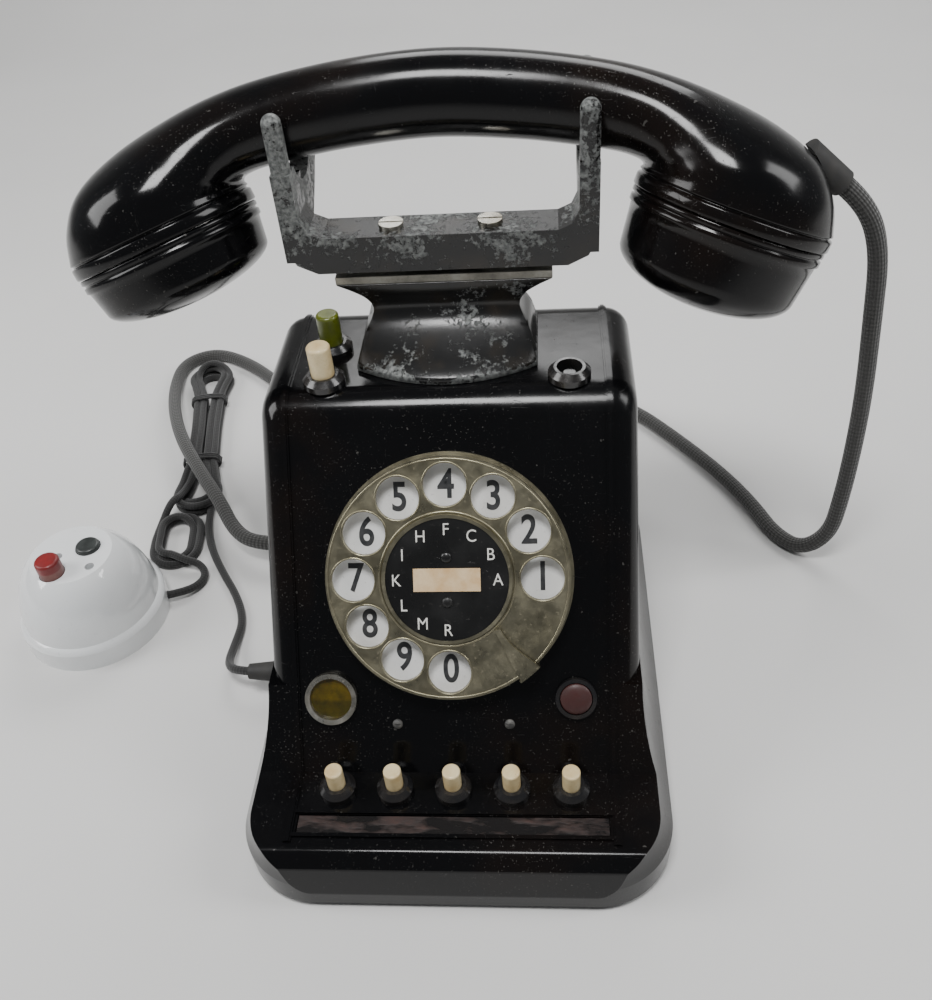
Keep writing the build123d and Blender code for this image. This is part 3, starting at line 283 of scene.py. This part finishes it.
# ---------------------------------------------------------------- materials
class Paint:
    """A procedural material: object coordinates in metres, and short calls for the usual nodes."""

    def __init__(self, name, colour, rough, metal=0.0, coat=0.0, coat_rough=0.08, ior=1.5, uv=False):
        self.material = bpy.data.materials.new(name)
        self.material.use_nodes = True
        self.tree = self.material.node_tree
        self.shader = self.tree.nodes["Principled BSDF"]
        coordinates = self.tree.nodes.new("ShaderNodeTexCoord")
        self.where = coordinates.outputs["UV" if uv else "Object"]
        self.normals = []
        for key, value in (("Base Color", (*colour, 1)), ("Roughness", rough), ("Metallic", metal),
                           ("Coat Weight", coat), ("Coat Roughness", coat_rough), ("IOR", ior)):
            self.shader.inputs[key].default_value = value

    def link(self, a, b):
        self.tree.links.new(a, b)

    def noise(self, scale, detail=4.0, rough=0.55, stretch=None, turn=(0, 0, 0), distort=0.0):
        node = self.tree.nodes.new("ShaderNodeTexNoise")
        node.inputs["Scale"].default_value = scale
        node.inputs["Detail"].default_value = detail
        node.inputs["Roughness"].default_value = rough
        node.inputs["Distortion"].default_value = distort
        where = self.where
        if stretch:
            mapping = self.tree.nodes.new("ShaderNodeMapping")
            mapping.inputs["Scale"].default_value = stretch
            mapping.inputs["Rotation"].default_value = turn
            self.link(where, mapping.inputs["Vector"])
            where = mapping.outputs["Vector"]
        self.link(where, node.inputs["Vector"])
        return node.outputs["Fac"]

    def map(self, value, low, high, to_low=0.0, to_high=1.0):
        node = self.tree.nodes.new("ShaderNodeMapRange")
        for key, number in (("From Min", low), ("From Max", high), ("To Min", to_low), ("To Max", to_high)):
            node.inputs[key].default_value = number
        self.link(value, node.inputs["Value"])
        return node.outputs["Result"]

    def math(self, how, a, b):
        node = self.tree.nodes.new("ShaderNodeMath")
        node.operation = how
        for socket, value in zip(node.inputs, (a, b)):
            if isinstance(value, (int, float)):
                socket.default_value = value
            else:
                self.link(value, socket)
        return node.outputs[0]

    def mix(self, share, a, b):
        node = self.tree.nodes.new("ShaderNodeMix")
        node.data_type = "RGBA"
        self.link(share, node.inputs[0])
        for socket, value in ((node.inputs[6], a), (node.inputs[7], b)):
            if isinstance(value, tuple):
                socket.default_value = (*value, 1)
            else:
                self.link(value, socket)
        return node.outputs[2]

    def place(self, axis):
        node = self.tree.nodes.new("ShaderNodeSeparateXYZ")
        self.link(self.where, node.inputs[0])
        return node.outputs[axis]

    def bump(self, height, distance, strength=1.0):
        node = self.tree.nodes.new("ShaderNodeBump")
        node.inputs["Distance"].default_value = distance
        node.inputs["Strength"].default_value = strength
        self.link(height, node.inputs["Height"])
        if self.normals:
            self.link(self.normals[-1], node.inputs["Normal"])
        self.normals.append(node.outputs["Normal"])
        self.link(node.outputs["Normal"], self.shader.inputs["Normal"])

    def colour(self, value):
        self.link(value, self.shader.inputs["Base Color"])

    def rough(self, value):
        self.link(value, self.shader.inputs["Roughness"])

    def metal(self, value):
        self.link(value, self.shader.inputs["Metallic"])


HAIRLINES = [((0.3, 0.9, 0.7), (1, 16, 3)), ((0.9, 0.5, -0.6), (20, 2, 1)), ((1.2, 2.0, 1.4), (2, 1, 18))]


def scratches(paint, rarity=0.70):
    """A mask of fine hairline scratches in three directions."""
    made = None
    for turn, stretch in HAIRLINES:
        line = paint.map(paint.noise(110, 3, 0.6, stretch, turn, 1.6), rarity, rarity + 0.04)
        made = line if made is None else paint.math("MAXIMUM", made, line)
    return made


def dust(paint):
    """A mask of scattered specks that gather in cloudy patches."""
    fine = paint.map(paint.noise(1500, 2, 0.5), 0.665, 0.70)
    coarse = paint.map(paint.noise(520, 2, 0.5), 0.73, 0.76)
    patch = paint.map(paint.noise(32, 3, 0.6), 0.45, 0.62)
    return paint.math("MAXIMUM", paint.math("MULTIPLY", fine, patch), coarse)


def bakelite():
    """Old polished bakelite: nearly black, brown in places, with hairlines, haze and a little dust."""
    p = Paint("bakelite_black", (0.004, 0.004, 0.004), 0.14, ior=1.36)
    tint = p.map(p.noise(16, 5), 0.52, 0.75)
    base = p.mix(tint, (0.0022, 0.0022, 0.0026), (0.008, 0.0045, 0.003))
    marks = scratches(p)
    specks = dust(p)
    base = p.mix(p.math("MULTIPLY", marks, 0.10), base, (0.06, 0.06, 0.06))
    p.colour(p.mix(p.math("MULTIPLY", specks, 0.34), base, (0.13, 0.125, 0.115)))
    haze = p.map(p.noise(22, 6, 0.65), 0.42, 0.75, 0.13, 0.27)
    p.rough(p.math("ADD", haze, p.math("MULTIPLY", p.math("MAXIMUM", marks, specks), 0.25)))
    p.bump(p.noise(48, 3, 0.5), 0.0003, 0.3)
    p.bump(marks, 0.00002, 0.5)
    return p.material


def flaked_metal(name, low_z, high_z, low, high):
    """Black paint flaked off grey cast metal: the bare share goes from low to high between two heights."""
    p = Paint(name, (0.02, 0.02, 0.02), 0.4)
    height = p.map(p.place(2), low_z, high_z, low, high)
    broad = p.math("MULTIPLY", p.noise(70, 4, 0.6), 0.5)
    fine = p.math("MULTIPLY", p.noise(520, 9, 0.75), 0.6)
    level = p.math("ADD", p.math("ADD", broad, fine), height)
    bare = p.map(level, 0.60, 0.63)
    metal_grey = p.mix(p.map(p.noise(700, 6, 0.7), 0.35, 0.68), (0.045, 0.048, 0.048), (0.26, 0.27, 0.26))
    black = p.mix(p.map(p.noise(90, 4), 0.5, 0.7), (0.006, 0.006, 0.006), (0.018, 0.014, 0.010))
    p.colour(p.mix(bare, black, metal_grey))
    p.rough(p.map(bare, 0, 1, 0.24, 0.60))
    p.metal(p.map(bare, 0, 1, 0.0, 0.35))
    p.bump(bare, 0.00012, 0.9)
    p.bump(p.noise(1500, 4, 0.7), 0.00006, 0.5)
    return p.material


def nickel(name, light, dark, rough, grain=(1, 1, 1)):
    p = Paint(name, light, rough, metal=1.0)
    stain = p.map(p.noise(75, 8, 0.7), 0.40, 0.68)
    spots = p.map(p.noise(900, 4, 0.7), 0.60, 0.72)
    base = p.mix(stain, light, dark)
    p.colour(p.mix(p.math("MULTIPLY", spots, 0.75), base, (0.10, 0.085, 0.055)))
    p.rough(p.math("ADD", p.map(p.noise(130, 6, 0.65), 0.35, 0.7, rough - 0.1, rough + 0.18),
                   p.math("MULTIPLY", spots, 0.3)))
    p.metal(p.map(spots, 0, 1, 1.0, 0.45))
    p.bump(p.noise(900, 5, 0.7, grain), 0.00003, 0.6)
    return p.material


def plain(name, light, dark, rough, scale=90, coat=0.0, specks=0.4, metal=0.0, bump=0.00004):
    """A moulded or painted surface with soft colour changes, dirt specks and a slightly uneven gloss."""
    p = Paint(name, light, rough, metal=metal, coat=coat)
    base = p.mix(p.map(p.noise(scale, 6, 0.6), 0.38, 0.68), light, dark)
    dirt = p.map(p.noise(scale * 14, 4, 0.7), 0.63, 0.70)
    p.colour(p.mix(p.math("MULTIPLY", dirt, specks), base, tuple(c * 0.3 for c in dark)))
    p.rough(p.map(p.noise(scale * 2, 5, 0.6), 0.35, 0.7, max(rough - 0.07, 0.03), rough + 0.14))
    p.bump(p.noise(scale * 5, 5, 0.65), bump, 0.6)
    return p.material


def black_disc():
    p = Paint("centre_disc_black", (0.006, 0.006, 0.006), 0.3)
    marks = scratches(p, 0.72)
    worn = p.map(p.noise(700, 5, 0.65), 0.63, 0.68)
    base = p.mix(p.math("MULTIPLY", marks, 0.22), (0.006, 0.006, 0.006), (0.16, 0.15, 0.13))
    p.colour(p.mix(p.math("MULTIPLY", worn, 0.30), base, (0.07, 0.065, 0.06)))
    p.rough(p.map(p.noise(60, 5), 0.4, 0.7, 0.24, 0.5))
    p.bump(marks, 0.00004, 0.8)
    return p.material


def label_paint():
    p = Paint("label_strip_worn", (0.03, 0.015, 0.012), 0.5)
    patches = p.map(p.noise(60, 6, 0.6, (1.2, 4, 4)), 0.44, 0.62)
    brown = p.mix(p.map(p.noise(300, 5, 0.7), 0.35, 0.7), (0.042, 0.018, 0.013), (0.016, 0.009, 0.008))
    p.colour(p.mix(patches, (0.008, 0.007, 0.007), brown))
    p.rough(p.map(patches, 0, 1, 0.25, 0.7))
    p.bump(patches, 0.00008, 0.8)
    return p.material


def amber():
    p = Paint("lamp_lens_amber", (0.16, 0.11, 0.005), 0.18, coat=0.5, coat_rough=0.08)
    blot = p.map(p.noise(190, 5, 0.65), 0.38, 0.66)
    low = p.mix(blot, (0.105, 0.068, 0.003), (0.045, 0.032, 0.002))
    split = p.map(p.math("ADD", p.place(2), p.math("MULTIPLY", p.noise(120, 3), 0.004)), 0.0440, 0.0450)
    p.colour(p.mix(split, p.mix(blot, (0.055, 0.040, 0.002), (0.024, 0.019, 0.002)), low))
    p.shader.inputs["Subsurface Weight"].default_value = 0.15
    p.bump(p.noise(420, 3, 0.5), 0.00012, 0.5)
    return p.material


def braid(name, light, dark, across, along, depth):
    """Woven cotton over a cord: two sets of strands that cross at a slant."""
    p = Paint(name, light, 0.85, uv=True)
    u = p.math("MULTIPLY", p.place(0), across)
    v = p.math("MULTIPLY", p.place(1), along)
    one = p.math("SINE", p.math("MULTIPLY", p.math("ADD", u, v), 2 * math.pi), 0.0)
    two = p.math("SINE", p.math("MULTIPLY", p.math("SUBTRACT", u, v), 2 * math.pi), 0.0)
    weave = p.map(p.math("MULTIPLY", one, two), -1, 1)
    fuzz = p.noise(900, 4, 0.7, (0.02, 1, 1))
    shade = p.math("ADD", p.math("MULTIPLY", weave, 0.7), p.math("MULTIPLY", fuzz, 0.4))
    p.colour(p.mix(p.map(shade, 0.15, 0.95), dark, light))
    p.shader.inputs["Sheen Weight"].default_value = 0.25
    p.bump(weave, depth, 0.9)
    return p.material


def red_cap():
    """Red plastic, with a stem bleached towards pink below the cap."""
    p = Paint("button_red", (0.22, 0.02, 0.02), 0.38)
    cap = p.mix(p.map(p.noise(200, 6, 0.6), 0.38, 0.68), (0.21, 0.017, 0.017), (0.14, 0.011, 0.012))
    stem = p.mix(p.map(p.noise(300, 5, 0.6), 0.38, 0.68), (0.20, 0.075, 0.062), (0.13, 0.045, 0.038))
    p.colour(p.mix(p.map(p.place(2), 0.0378, 0.0384), stem, cap))
    p.rough(p.map(p.noise(400, 5, 0.6), 0.35, 0.7, 0.28, 0.52))
    p.bump(p.noise(1000, 5, 0.65), 0.00004, 0.6)
    return p.material


MATERIALS = {
    "bakelite": bakelite(),
    "black_collar": plain("collar_black", (0.010, 0.010, 0.011), (0.020, 0.017, 0.015), 0.2, 120, coat=0.3,
                          specks=0.0),
    "worn_cast_metal": flaked_metal("flaked_cradle", 0.150, 0.176, 0.01, 0.10),
    "pale_plate": nickel("bare_edge", (0.36, 0.35, 0.31), (0.16, 0.15, 0.13), 0.5),
    "nickel": nickel("nickel_plate", (0.62, 0.60, 0.54), (0.34, 0.31, 0.25), 0.30),
    "dial_nickel": nickel("dial_nickel_worn", (0.34, 0.315, 0.225), (0.25, 0.228, 0.155), 0.36),
    "black_screw": plain("face_screw_dusty", (0.035, 0.035, 0.035), (0.12, 0.115, 0.105), 0.5, 500),
    "white_enamel": plain("dial_enamel", (0.90, 0.90, 0.89), (0.80, 0.79, 0.76), 0.22, 60, coat=0.4,
                          specks=0.25),
    "black_disc": black_disc(),
    "card": plain("dial_card", (0.70, 0.54, 0.33), (0.56, 0.35, 0.16), 0.6, 150, coat=0.3),
    "amber_lens": amber(),
    "brown_button": plain("button_brown", (0.052, 0.0165, 0.0150), (0.034, 0.011, 0.010), 0.45, 160),
    "ivory": plain("knob_ivory", (0.74, 0.62, 0.37), (0.58, 0.42, 0.20), 0.33, 130, coat=0.2, specks=0.5),
    "green_plastic": plain("knob_green", (0.13, 0.155, 0.012), (0.06, 0.075, 0.006), 0.3, 130, coat=0.3),
    "label": label_paint(),
    "rubber_black": plain("rubber_aged", (0.018, 0.018, 0.018), (0.035, 0.033, 0.03), 0.65, 300),
    "grey_braid": braid("cotton_braid_grey", (0.060, 0.059, 0.056), (0.014, 0.014, 0.013), 10, 310.0, 0.0004),
    "black_cable": braid("cotton_braid_black", (0.022, 0.0215, 0.021), (0.006, 0.006, 0.006), 6, 420.0,
                         0.0002),
    "porcelain": plain("porcelain_glaze", (0.80, 0.81, 0.81), (0.74, 0.76, 0.77), 0.10, 25, coat=0.8,
                       specks=0.12),
    "red_plastic": red_cap(),
    "dark_plastic": plain("button_dark", (0.022, 0.025, 0.024), (0.045, 0.05, 0.048), 0.35, 200),
    "brass_gong": nickel("gong_metal", (0.55, 0.43, 0.22), (0.35, 0.26, 0.12), 0.3),
    "copper_coil": plain("coil_winding", (0.30, 0.11, 0.04), (0.16, 0.06, 0.02), 0.35, 400),
    "steel": nickel("steel_plain", (0.40, 0.40, 0.40), (0.24, 0.23, 0.21), 0.38),
}


def paint(piece, slot, tell=False):
    piece.data.materials.clear()
    piece.data.materials.append(MATERIALS[slot])


for part in frame["record"]["subparts"]:
    paint(NODES[part["node"]], part["material_slot"])

paint(handset_cord, "grey_braid", True)
paint(line_cord, "black_cable", True)
for piece in ties:
    paint(piece, "black_cable", True)

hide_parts("handset_cord")
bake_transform(handset_cord)
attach(line_cord, "housing")
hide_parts("line_cord_lead", "line_hank", "line_coil", "line_cord_tail")
for piece in ties:
    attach(piece, "housing")

# ---------------------------------------------------------------- handset
def between(values, t):
    """A smooth value at t from a list of numbers or tuples, which it goes through."""
    i = min(int(t), len(values) - 2)
    f = t - i
    a, b, c, d = (Vector(values[min(max(i + k, 0), len(values) - 1)]) for k in (-1, 0, 1, 2))
    bend, twist = 2 * a - 5 * b + 4 * c - d, 3 * b - 3 * c + d - a
    return 0.5 * (2 * b + (c - a) * f + bend * f * f + twist * f ** 3)


def rings_mesh(name, rings, slot, smooth=True):
    """A closed skin over rings that all have the same number of points."""
    n = len(rings[0])
    verts = [p for ring in rings for p in ring]
    faces = [(i * n + k, i * n + (k + 1) % n, (i + 1) * n + (k + 1) % n, (i + 1) * n + k)
             for i in range(len(rings) - 1) for k in range(n)]
    faces += [tuple(range(n))[::-1], tuple((len(rings) - 1) * n + k for k in range(n))]
    piece = add_mesh(name, verts, faces, smooth)
    paint(piece, slot, True)
    return piece


SEAT = Matrix.Translation((0, 0.058, 0.1855)) @ Matrix.Rotation(math.radians(-18.0), 4, "X")
CUP_X, CUP_DROP, CUP_R, CUP_LEAN = 84.9, 32.4, 30.0, math.radians(21.0)
HEAD_LIP = 5.0  # the head's straight rim
HANDLE_R = 11.9


def cup_at(side):
    middle = Matrix.Translation((side * CUP_X * MM, 0, -CUP_DROP * MM))
    return SEAT @ middle @ Matrix.Rotation(side * CUP_LEAN, 4, "Y")


def rim_point(across, up):
    """A point of the right cup's rim plane, raised up its axis, in the plane of the handset's arch."""
    c, s = math.cos(CUP_LEAN), math.sin(CUP_LEAN)
    return (CUP_X + across * c + up * s, -CUP_DROP - across * s + up * c)


# Each oval section from the middle out: the point on its back, the point on its palm side, its half width.
SECTIONS = [((0.0, 17.4), (0.0, -6.4), HANDLE_R), ((24.0, 15.9), (23.0, -7.9), HANDLE_R),
            ((47.0, 12.4), (41.0, -10.4), 12.3), ((64.0, 8.0), (51.5, -12.4), 14.4),
            ((80.0, 1.6), (56.5, -14.0), 18.6), ((96.0, -7.0), (58.8, -15.2), 24.0),
            ((108.0, -16.8), (59.6, -16.1), 27.8), ((113.4, -28.0), (59.7, -16.8), 29.3),
            (rim_point(CUP_R - 0.4, HEAD_LIP), rim_point(0.4 - CUP_R, HEAD_LIP), CUP_R - 0.4)]
RING = 56  # points round the handset
LATHE = 72  # points round a turned cap
# The head's rim: how far in and how far up its axis, over the groove and down to the cap.
RIM_STEPS = ((0.4, 4.7), (1.0, 4.4), (1.0, 4.0), (0.3, 3.7), (0.0, 3.3), (0.0, 0.5), (0.35, 0.1))
SECTION_STEPS = 6


def oval(back, palm, half_width, side):
    middle = Vector((back[0] + palm[0], 0, back[1] + palm[1])) / 2
    rise = Vector((back[0], 0, back[1])) - middle
    ring = []
    for k in range(RING):
        a = 2 * math.pi * k / RING
        p = middle + rise * math.cos(a) + Vector((0, half_width, 0)) * math.sin(a)
        ring.append(SEAT @ (Vector((side * p.x, p.y, p.z)) * MM))
    return ring


def lathe_rings(profile, frame_at):
    turns = [2 * math.pi * k / LATHE for k in range(LATHE)]
    return [[frame_at @ (Vector((r * math.cos(a), r * math.sin(a), z)) * MM) for a in turns]
            for r, z in profile]


def mirrored(points):
    """The points with the second one's mirror image put first, so the two halves meet smoothly."""
    return [(-points[1][0], points[1][1])] + points


def half_rings(side):
    rings = []
    backs, palms = mirrored([x[0] for x in SECTIONS]), mirrored([x[1] for x in SECTIONS])
    halves = [(x[2], 0) for x in [SECTIONS[1]] + SECTIONS]
    for n in range((len(SECTIONS) - 1) * SECTION_STEPS + 1):
        t = 1 + n / SECTION_STEPS
        rings.append(oval(between(backs, t), between(palms, t), between(halves, t)[0], side))
    for inset, up in RIM_STEPS:
        rings.append(oval(rim_point(CUP_R - inset, up), rim_point(inset - CUP_R, up), CUP_R - inset, side))
    return rings


body = rings_mesh("handset_body", half_rings(-1)[::-1] + half_rings(1)[1:], "bakelite")
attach(body, "handset")
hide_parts("handset_handle")


# How far in from the cup's radius, and how far below its rim.
CAP_GROOVES = [(4.0, -0.05), (0.9, -0.1), (0.45, -0.5), (0.45, -1.5), (1.2, -1.9), (1.2, -2.3), (0.55, -2.7),
               (0.55, -4.2), (1.3, -4.7)]


def cap_profile(depth):
    """From the rim down: a bead between two grooves, a wall that narrows, and a low flat dome."""
    wall, dome_r = depth * 0.6, CUP_R - 2.6
    made = [(CUP_R - inset, z) for inset, z in CAP_GROOVES]
    inset, low = CAP_GROOVES[-1]
    top_r = CUP_R - inset
    made += [(top_r - (top_r - dome_r) * k / 4, low - (wall + low) * k / 4) for k in range(1, 5)]
    turns = [math.pi / 2 * k / 12 for k in range(1, 12)]
    made += [(dome_r * math.cos(a), -wall - (depth - wall) * math.sin(a)) for a in turns]
    return made + [(0.6, -depth)]


for side, depth, node in ((-1, 20.0, "ear_cap"), (1, 27.0, "mouth_cap")):
    cap = rings_mesh(f"{node}_turned", lathe_rings(cap_profile(depth), cup_at(side))[::-1], "bakelite")
    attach(cap, "handset")
    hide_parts(node)


# ---------------------------------------------------------------- pedestal
# Height, half width, the front corners' y, how far the front bows out, from the foot up.
PEDESTAL = [(118.6, 28.0, 27.0, 9.0), (120.4, 28.0, 27.0, 9.0), (121.4, 27.5, 27.9, 8.7),
            (123.0, 27.0, 30.2, 7.4), (126.0, 26.0, 35.0, 4.8), (129.5, 23.8, 38.8, 2.2),
            (133.0, 22.8, 40.2, 1.0), (136.5, 24.6, 39.8, 0.8), (139.5, 28.4, 39.0, 0.5),
            (142.0, 33.0, 38.5, 0.0)]
PEDESTAL_BACK = 55.0
PEDESTAL_STEPS = 5


def pedestal_ring(z, half, front, bow):
    made = []
    for k in range(25):
        x = -1 + 2 * k / 24
        made.append((x * half, front - bow * (1 - x * x)))
    side = [(half, front + (PEDESTAL_BACK - front) * k / 6) for k in range(1, 6)]
    back = [(half * (1 - 2 * k / 8), PEDESTAL_BACK) for k in range(9)]
    made += side + back + [(-x, y) for x, y in reversed(side)]
    return [Vector((x, y, z)) * MM for x, y in made]


pedestal_rings = [pedestal_ring(*between(PEDESTAL, n / PEDESTAL_STEPS))
                  for n in range((len(PEDESTAL) - 1) * PEDESTAL_STEPS + 1)]
pedestal = rings_mesh("pedestal_cast", pedestal_rings, "worn_cast_metal")
pedestal.data.materials[0] = flaked_metal("flaked_pedestal", 0.1186, 0.1225, 0.14, -0.01)
bevel = pedestal.modifiers.new("corners", "BEVEL")
bevel.width, bevel.segments, bevel.limit_method, bevel.angle_limit = 0.0012, 3, "ANGLE", math.radians(55)
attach(pedestal, "housing")
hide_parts("cradle_pedestal")

# ---------------------------------------------------------------- dial lettering
NORMAL = Vector((0, -math.cos(FACE_TILT), math.sin(FACE_TILT)))
FACE_UP = Vector((0, math.sin(FACE_TILT), math.cos(FACE_TILT)))
wheel_low, wheel_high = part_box("finger_wheel")
wheel_middle = (wheel_low + wheel_high) / 2


def outer_height(node):
    """How far a node's front stands out along the face's normal."""
    return max(v.co.dot(NORMAL) for v in NODES[node].data.vertices)


def characters(name, signs, radius, size, weight, node, squeeze, slot):
    """Flat raised characters, upright on the face, each at its angle round the dial's middle."""
    lift = outer_height(node) - wheel_middle.dot(NORMAL) + 0.00002
    verts, faces = [], []
    for sign, angle in signs:
        font = bpy.data.curves.new(name, "FONT")
        font.body = sign
        font.size = size
        font.extrude = 0.00004
        font.offset = size * weight
        font.align_x = "CENTER"
        holder = bpy.data.objects.new(name, font)
        bpy.context.scene.collection.objects.link(holder)
        mesh = bpy.data.meshes.new_from_object(holder)
        ys = [v.co.y for v in mesh.vertices]
        middle = (min(ys) + max(ys)) / 2
        u, v = radius * math.cos(math.radians(angle)), radius * math.sin(math.radians(angle))
        first = len(verts)
        for p in mesh.vertices:
            verts.append(wheel_middle + Vector((1, 0, 0)) * (u + p.co.x * squeeze)
                         + FACE_UP * (v + p.co.y - middle) + NORMAL * (lift + p.co.z))
        faces += [tuple(first + i for i in face.vertices) for face in mesh.polygons]
        bpy.data.objects.remove(holder)
        bpy.data.meshes.remove(mesh)
        bpy.data.curves.remove(font)
    piece = add_mesh(name, verts, faces, smooth=False)
    piece.data.materials.append(MATERIALS[slot] if isinstance(slot, str) else slot)
    return piece


INK = plain("figure_ink", (0.03, 0.032, 0.035), (0.07, 0.07, 0.072), 0.4, 400, specks=0.0)
LETTER_WHITE = plain("letter_white", (0.74, 0.73, 0.69), (0.55, 0.54, 0.50), 0.5, 400, specks=0.3)
FIGURES = [(d, HOLE_PITCH * i) for i, d in enumerate("1234567890")]
INDEX = [(d, HOLE_PITCH * i) for i, d in enumerate("ABCFHIKLMR")]
numbers = characters("dial_numbers", FIGURES, HOLE_CIRCLE_R, 0.0123, 0.020, "number_plate", 0.82, INK)
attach(numbers, "housing")
letters = characters("dial_letters", INDEX, 0.0153, 0.0052, 0.0, "centre_disc", 0.9, LETTER_WHITE)
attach(letters, "dial")


def face_point(u, v, w):
    """A point on the dial, w above the wheel's top."""
    return WHEEL_TOP + Vector((1, 0, 0)) * u + FACE_UP * v + NORMAL * w


def bead_ring(at, radius, thick):
    """A thin raised rim on the wheel, round a hole or along an edge."""
    n, sides, verts, faces = 64, 8, [], []
    for i in range(n):
        a = 2 * math.pi * i / n
        for k in range(sides):
            b = 2 * math.pi * k / sides
            r = radius + thick * math.cos(b)
            rise = thick * 0.8 * math.sin(b)
            verts.append(face_point(at[0] + r * math.cos(a), at[1] + r * math.sin(a), rise))
            j, m = (i + 1) % n, (k + 1) % sides
            faces.append((i * sides + k, j * sides + k, j * sides + m, i * sides + m))
    return verts, faces


def rivet(at, radius, height):
    """A low domed rivet head."""
    n, levels = 20, 5
    verts = []
    for j in range(levels):
        lift = math.pi / 2 * j / levels
        r, rise = radius * math.cos(lift), DISC_RISE + height * math.sin(lift)
        for i in range(n):
            a = 2 * math.pi * i / n
            verts.append(face_point(at[0] + r * math.cos(a), at[1] + r * math.sin(a), rise))
    verts.append(face_point(*at, DISC_RISE + height))
    faces = [(j * n + i, j * n + (i + 1) % n, (j + 1) * n + (i + 1) % n, (j + 1) * n + i)
             for j in range(levels - 1) for i in range(n)]
    faces += [((levels - 1) * n + i, (levels - 1) * n + (i + 1) % n, levels * n) for i in range(n)]
    return verts, faces + [tuple(range(n))[::-1]]


def joined(name, pieces, slot):
    verts, faces = [], []
    for more_verts, more_faces in pieces:
        faces += [tuple(i + len(verts) for i in face) for face in more_faces]
        verts += more_verts
    piece = add_mesh(name, verts, faces)
    paint(piece, slot, True)
    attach(piece, "dial")


WHEEL_TOP = FACE_MIDDLE + NORMAL * 0.0069
DISC_RISE = 0.0006  # the centre disc's thickness
HOLES = 10
HOLE_RIM = (0.0068, 0.00028)  # the radius of a rim and of its own round section
OUTER_RIM = (0.0363, 0.0003)
INNER_RIM = (0.0204, 0.0004)
RIVET_V = 0.0068
turns = [math.radians(HOLE_PITCH * i) for i in range(HOLES)]
holes = [(HOLE_CIRCLE_R * math.cos(a), HOLE_CIRCLE_R * math.sin(a)) for a in turns]
rims = [bead_ring(at, *HOLE_RIM) for at in holes]
rims += [bead_ring((0, 0), *edge) for edge in (OUTER_RIM, INNER_RIM)]
joined("wheel_rims", rims, "dial_nickel")
joined("card_rivets", [rivet((0, v), 0.0017, 0.0008) for v in (-RIVET_V, RIVET_V)], "black_disc")


# ---------------------------------------------------------------- floor and light
def make_floor():
    size, cove_at, cove_r, rise = 2.4, 0.75, 0.5, 24
    turns = [math.pi / 2 * k / rise for k in range(rise + 1)]
    cove = [(cove_at + cove_r * math.sin(a), cove_r - cove_r * math.cos(a)) for a in turns]
    profile = [(-size, 0.0)] + cove + [(cove_at + cove_r, size)]
    verts = [(x, y, z) for y, z in profile for x in (-size, size)]
    faces = [(2 * i, 2 * i + 1, 2 * i + 3, 2 * i + 2) for i in range(len(profile) - 1)]
    floor = add_mesh("floor", verts, faces)
    p = Paint("floor_pale", (0.62, 0.61, 0.60), 0.75)
    p.colour(p.mix(p.map(p.noise(3, 4), 0.3, 0.7), (0.60, 0.595, 0.585), (0.66, 0.655, 0.645)))
    p.bump(p.noise(600, 3), 0.0001, 0.2)
    floor.data.materials.append(p.material)


def lamp(name, at, aim, size, power, colour=(1, 1, 1)):
    data = bpy.data.lights.new(name, "AREA")
    data.shape = "RECTANGLE"
    data.size, data.size_y = size
    data.energy = power
    data.color = colour
    light = bpy.data.objects.new(name, data)
    light.location = at
    light.rotation_euler = (Vector(aim) - Vector(at)).to_track_quat("-Z", "Y").to_euler()
    bpy.context.scene.collection.objects.link(light)


make_floor()
lamp("key", (-0.05, -0.25, 1.1), (0, 0.02, 0.1), (0.35, 0.25), 9)
lamp("side_left", (-0.9, -0.1, 0.7), (0, 0.05, 0.1), (0.5, 0.6), 7)
lamp("side_right", (0.9, 0.0, 0.8), (0, 0.05, 0.1), (0.4, 0.6), 6)
lamp("back", (0.1, 0.9, 0.9), (0, 0.05, 0.1), (0.8, 0.4), 6)
world = bpy.data.worlds.new("studio")
world.use_nodes = True
world.node_tree.nodes["Background"].inputs["Color"].default_value = (0.75, 0.77, 0.80, 1)
world.node_tree.nodes["Background"].inputs["Strength"].default_value = 0.22
bpy.context.scene.world = world
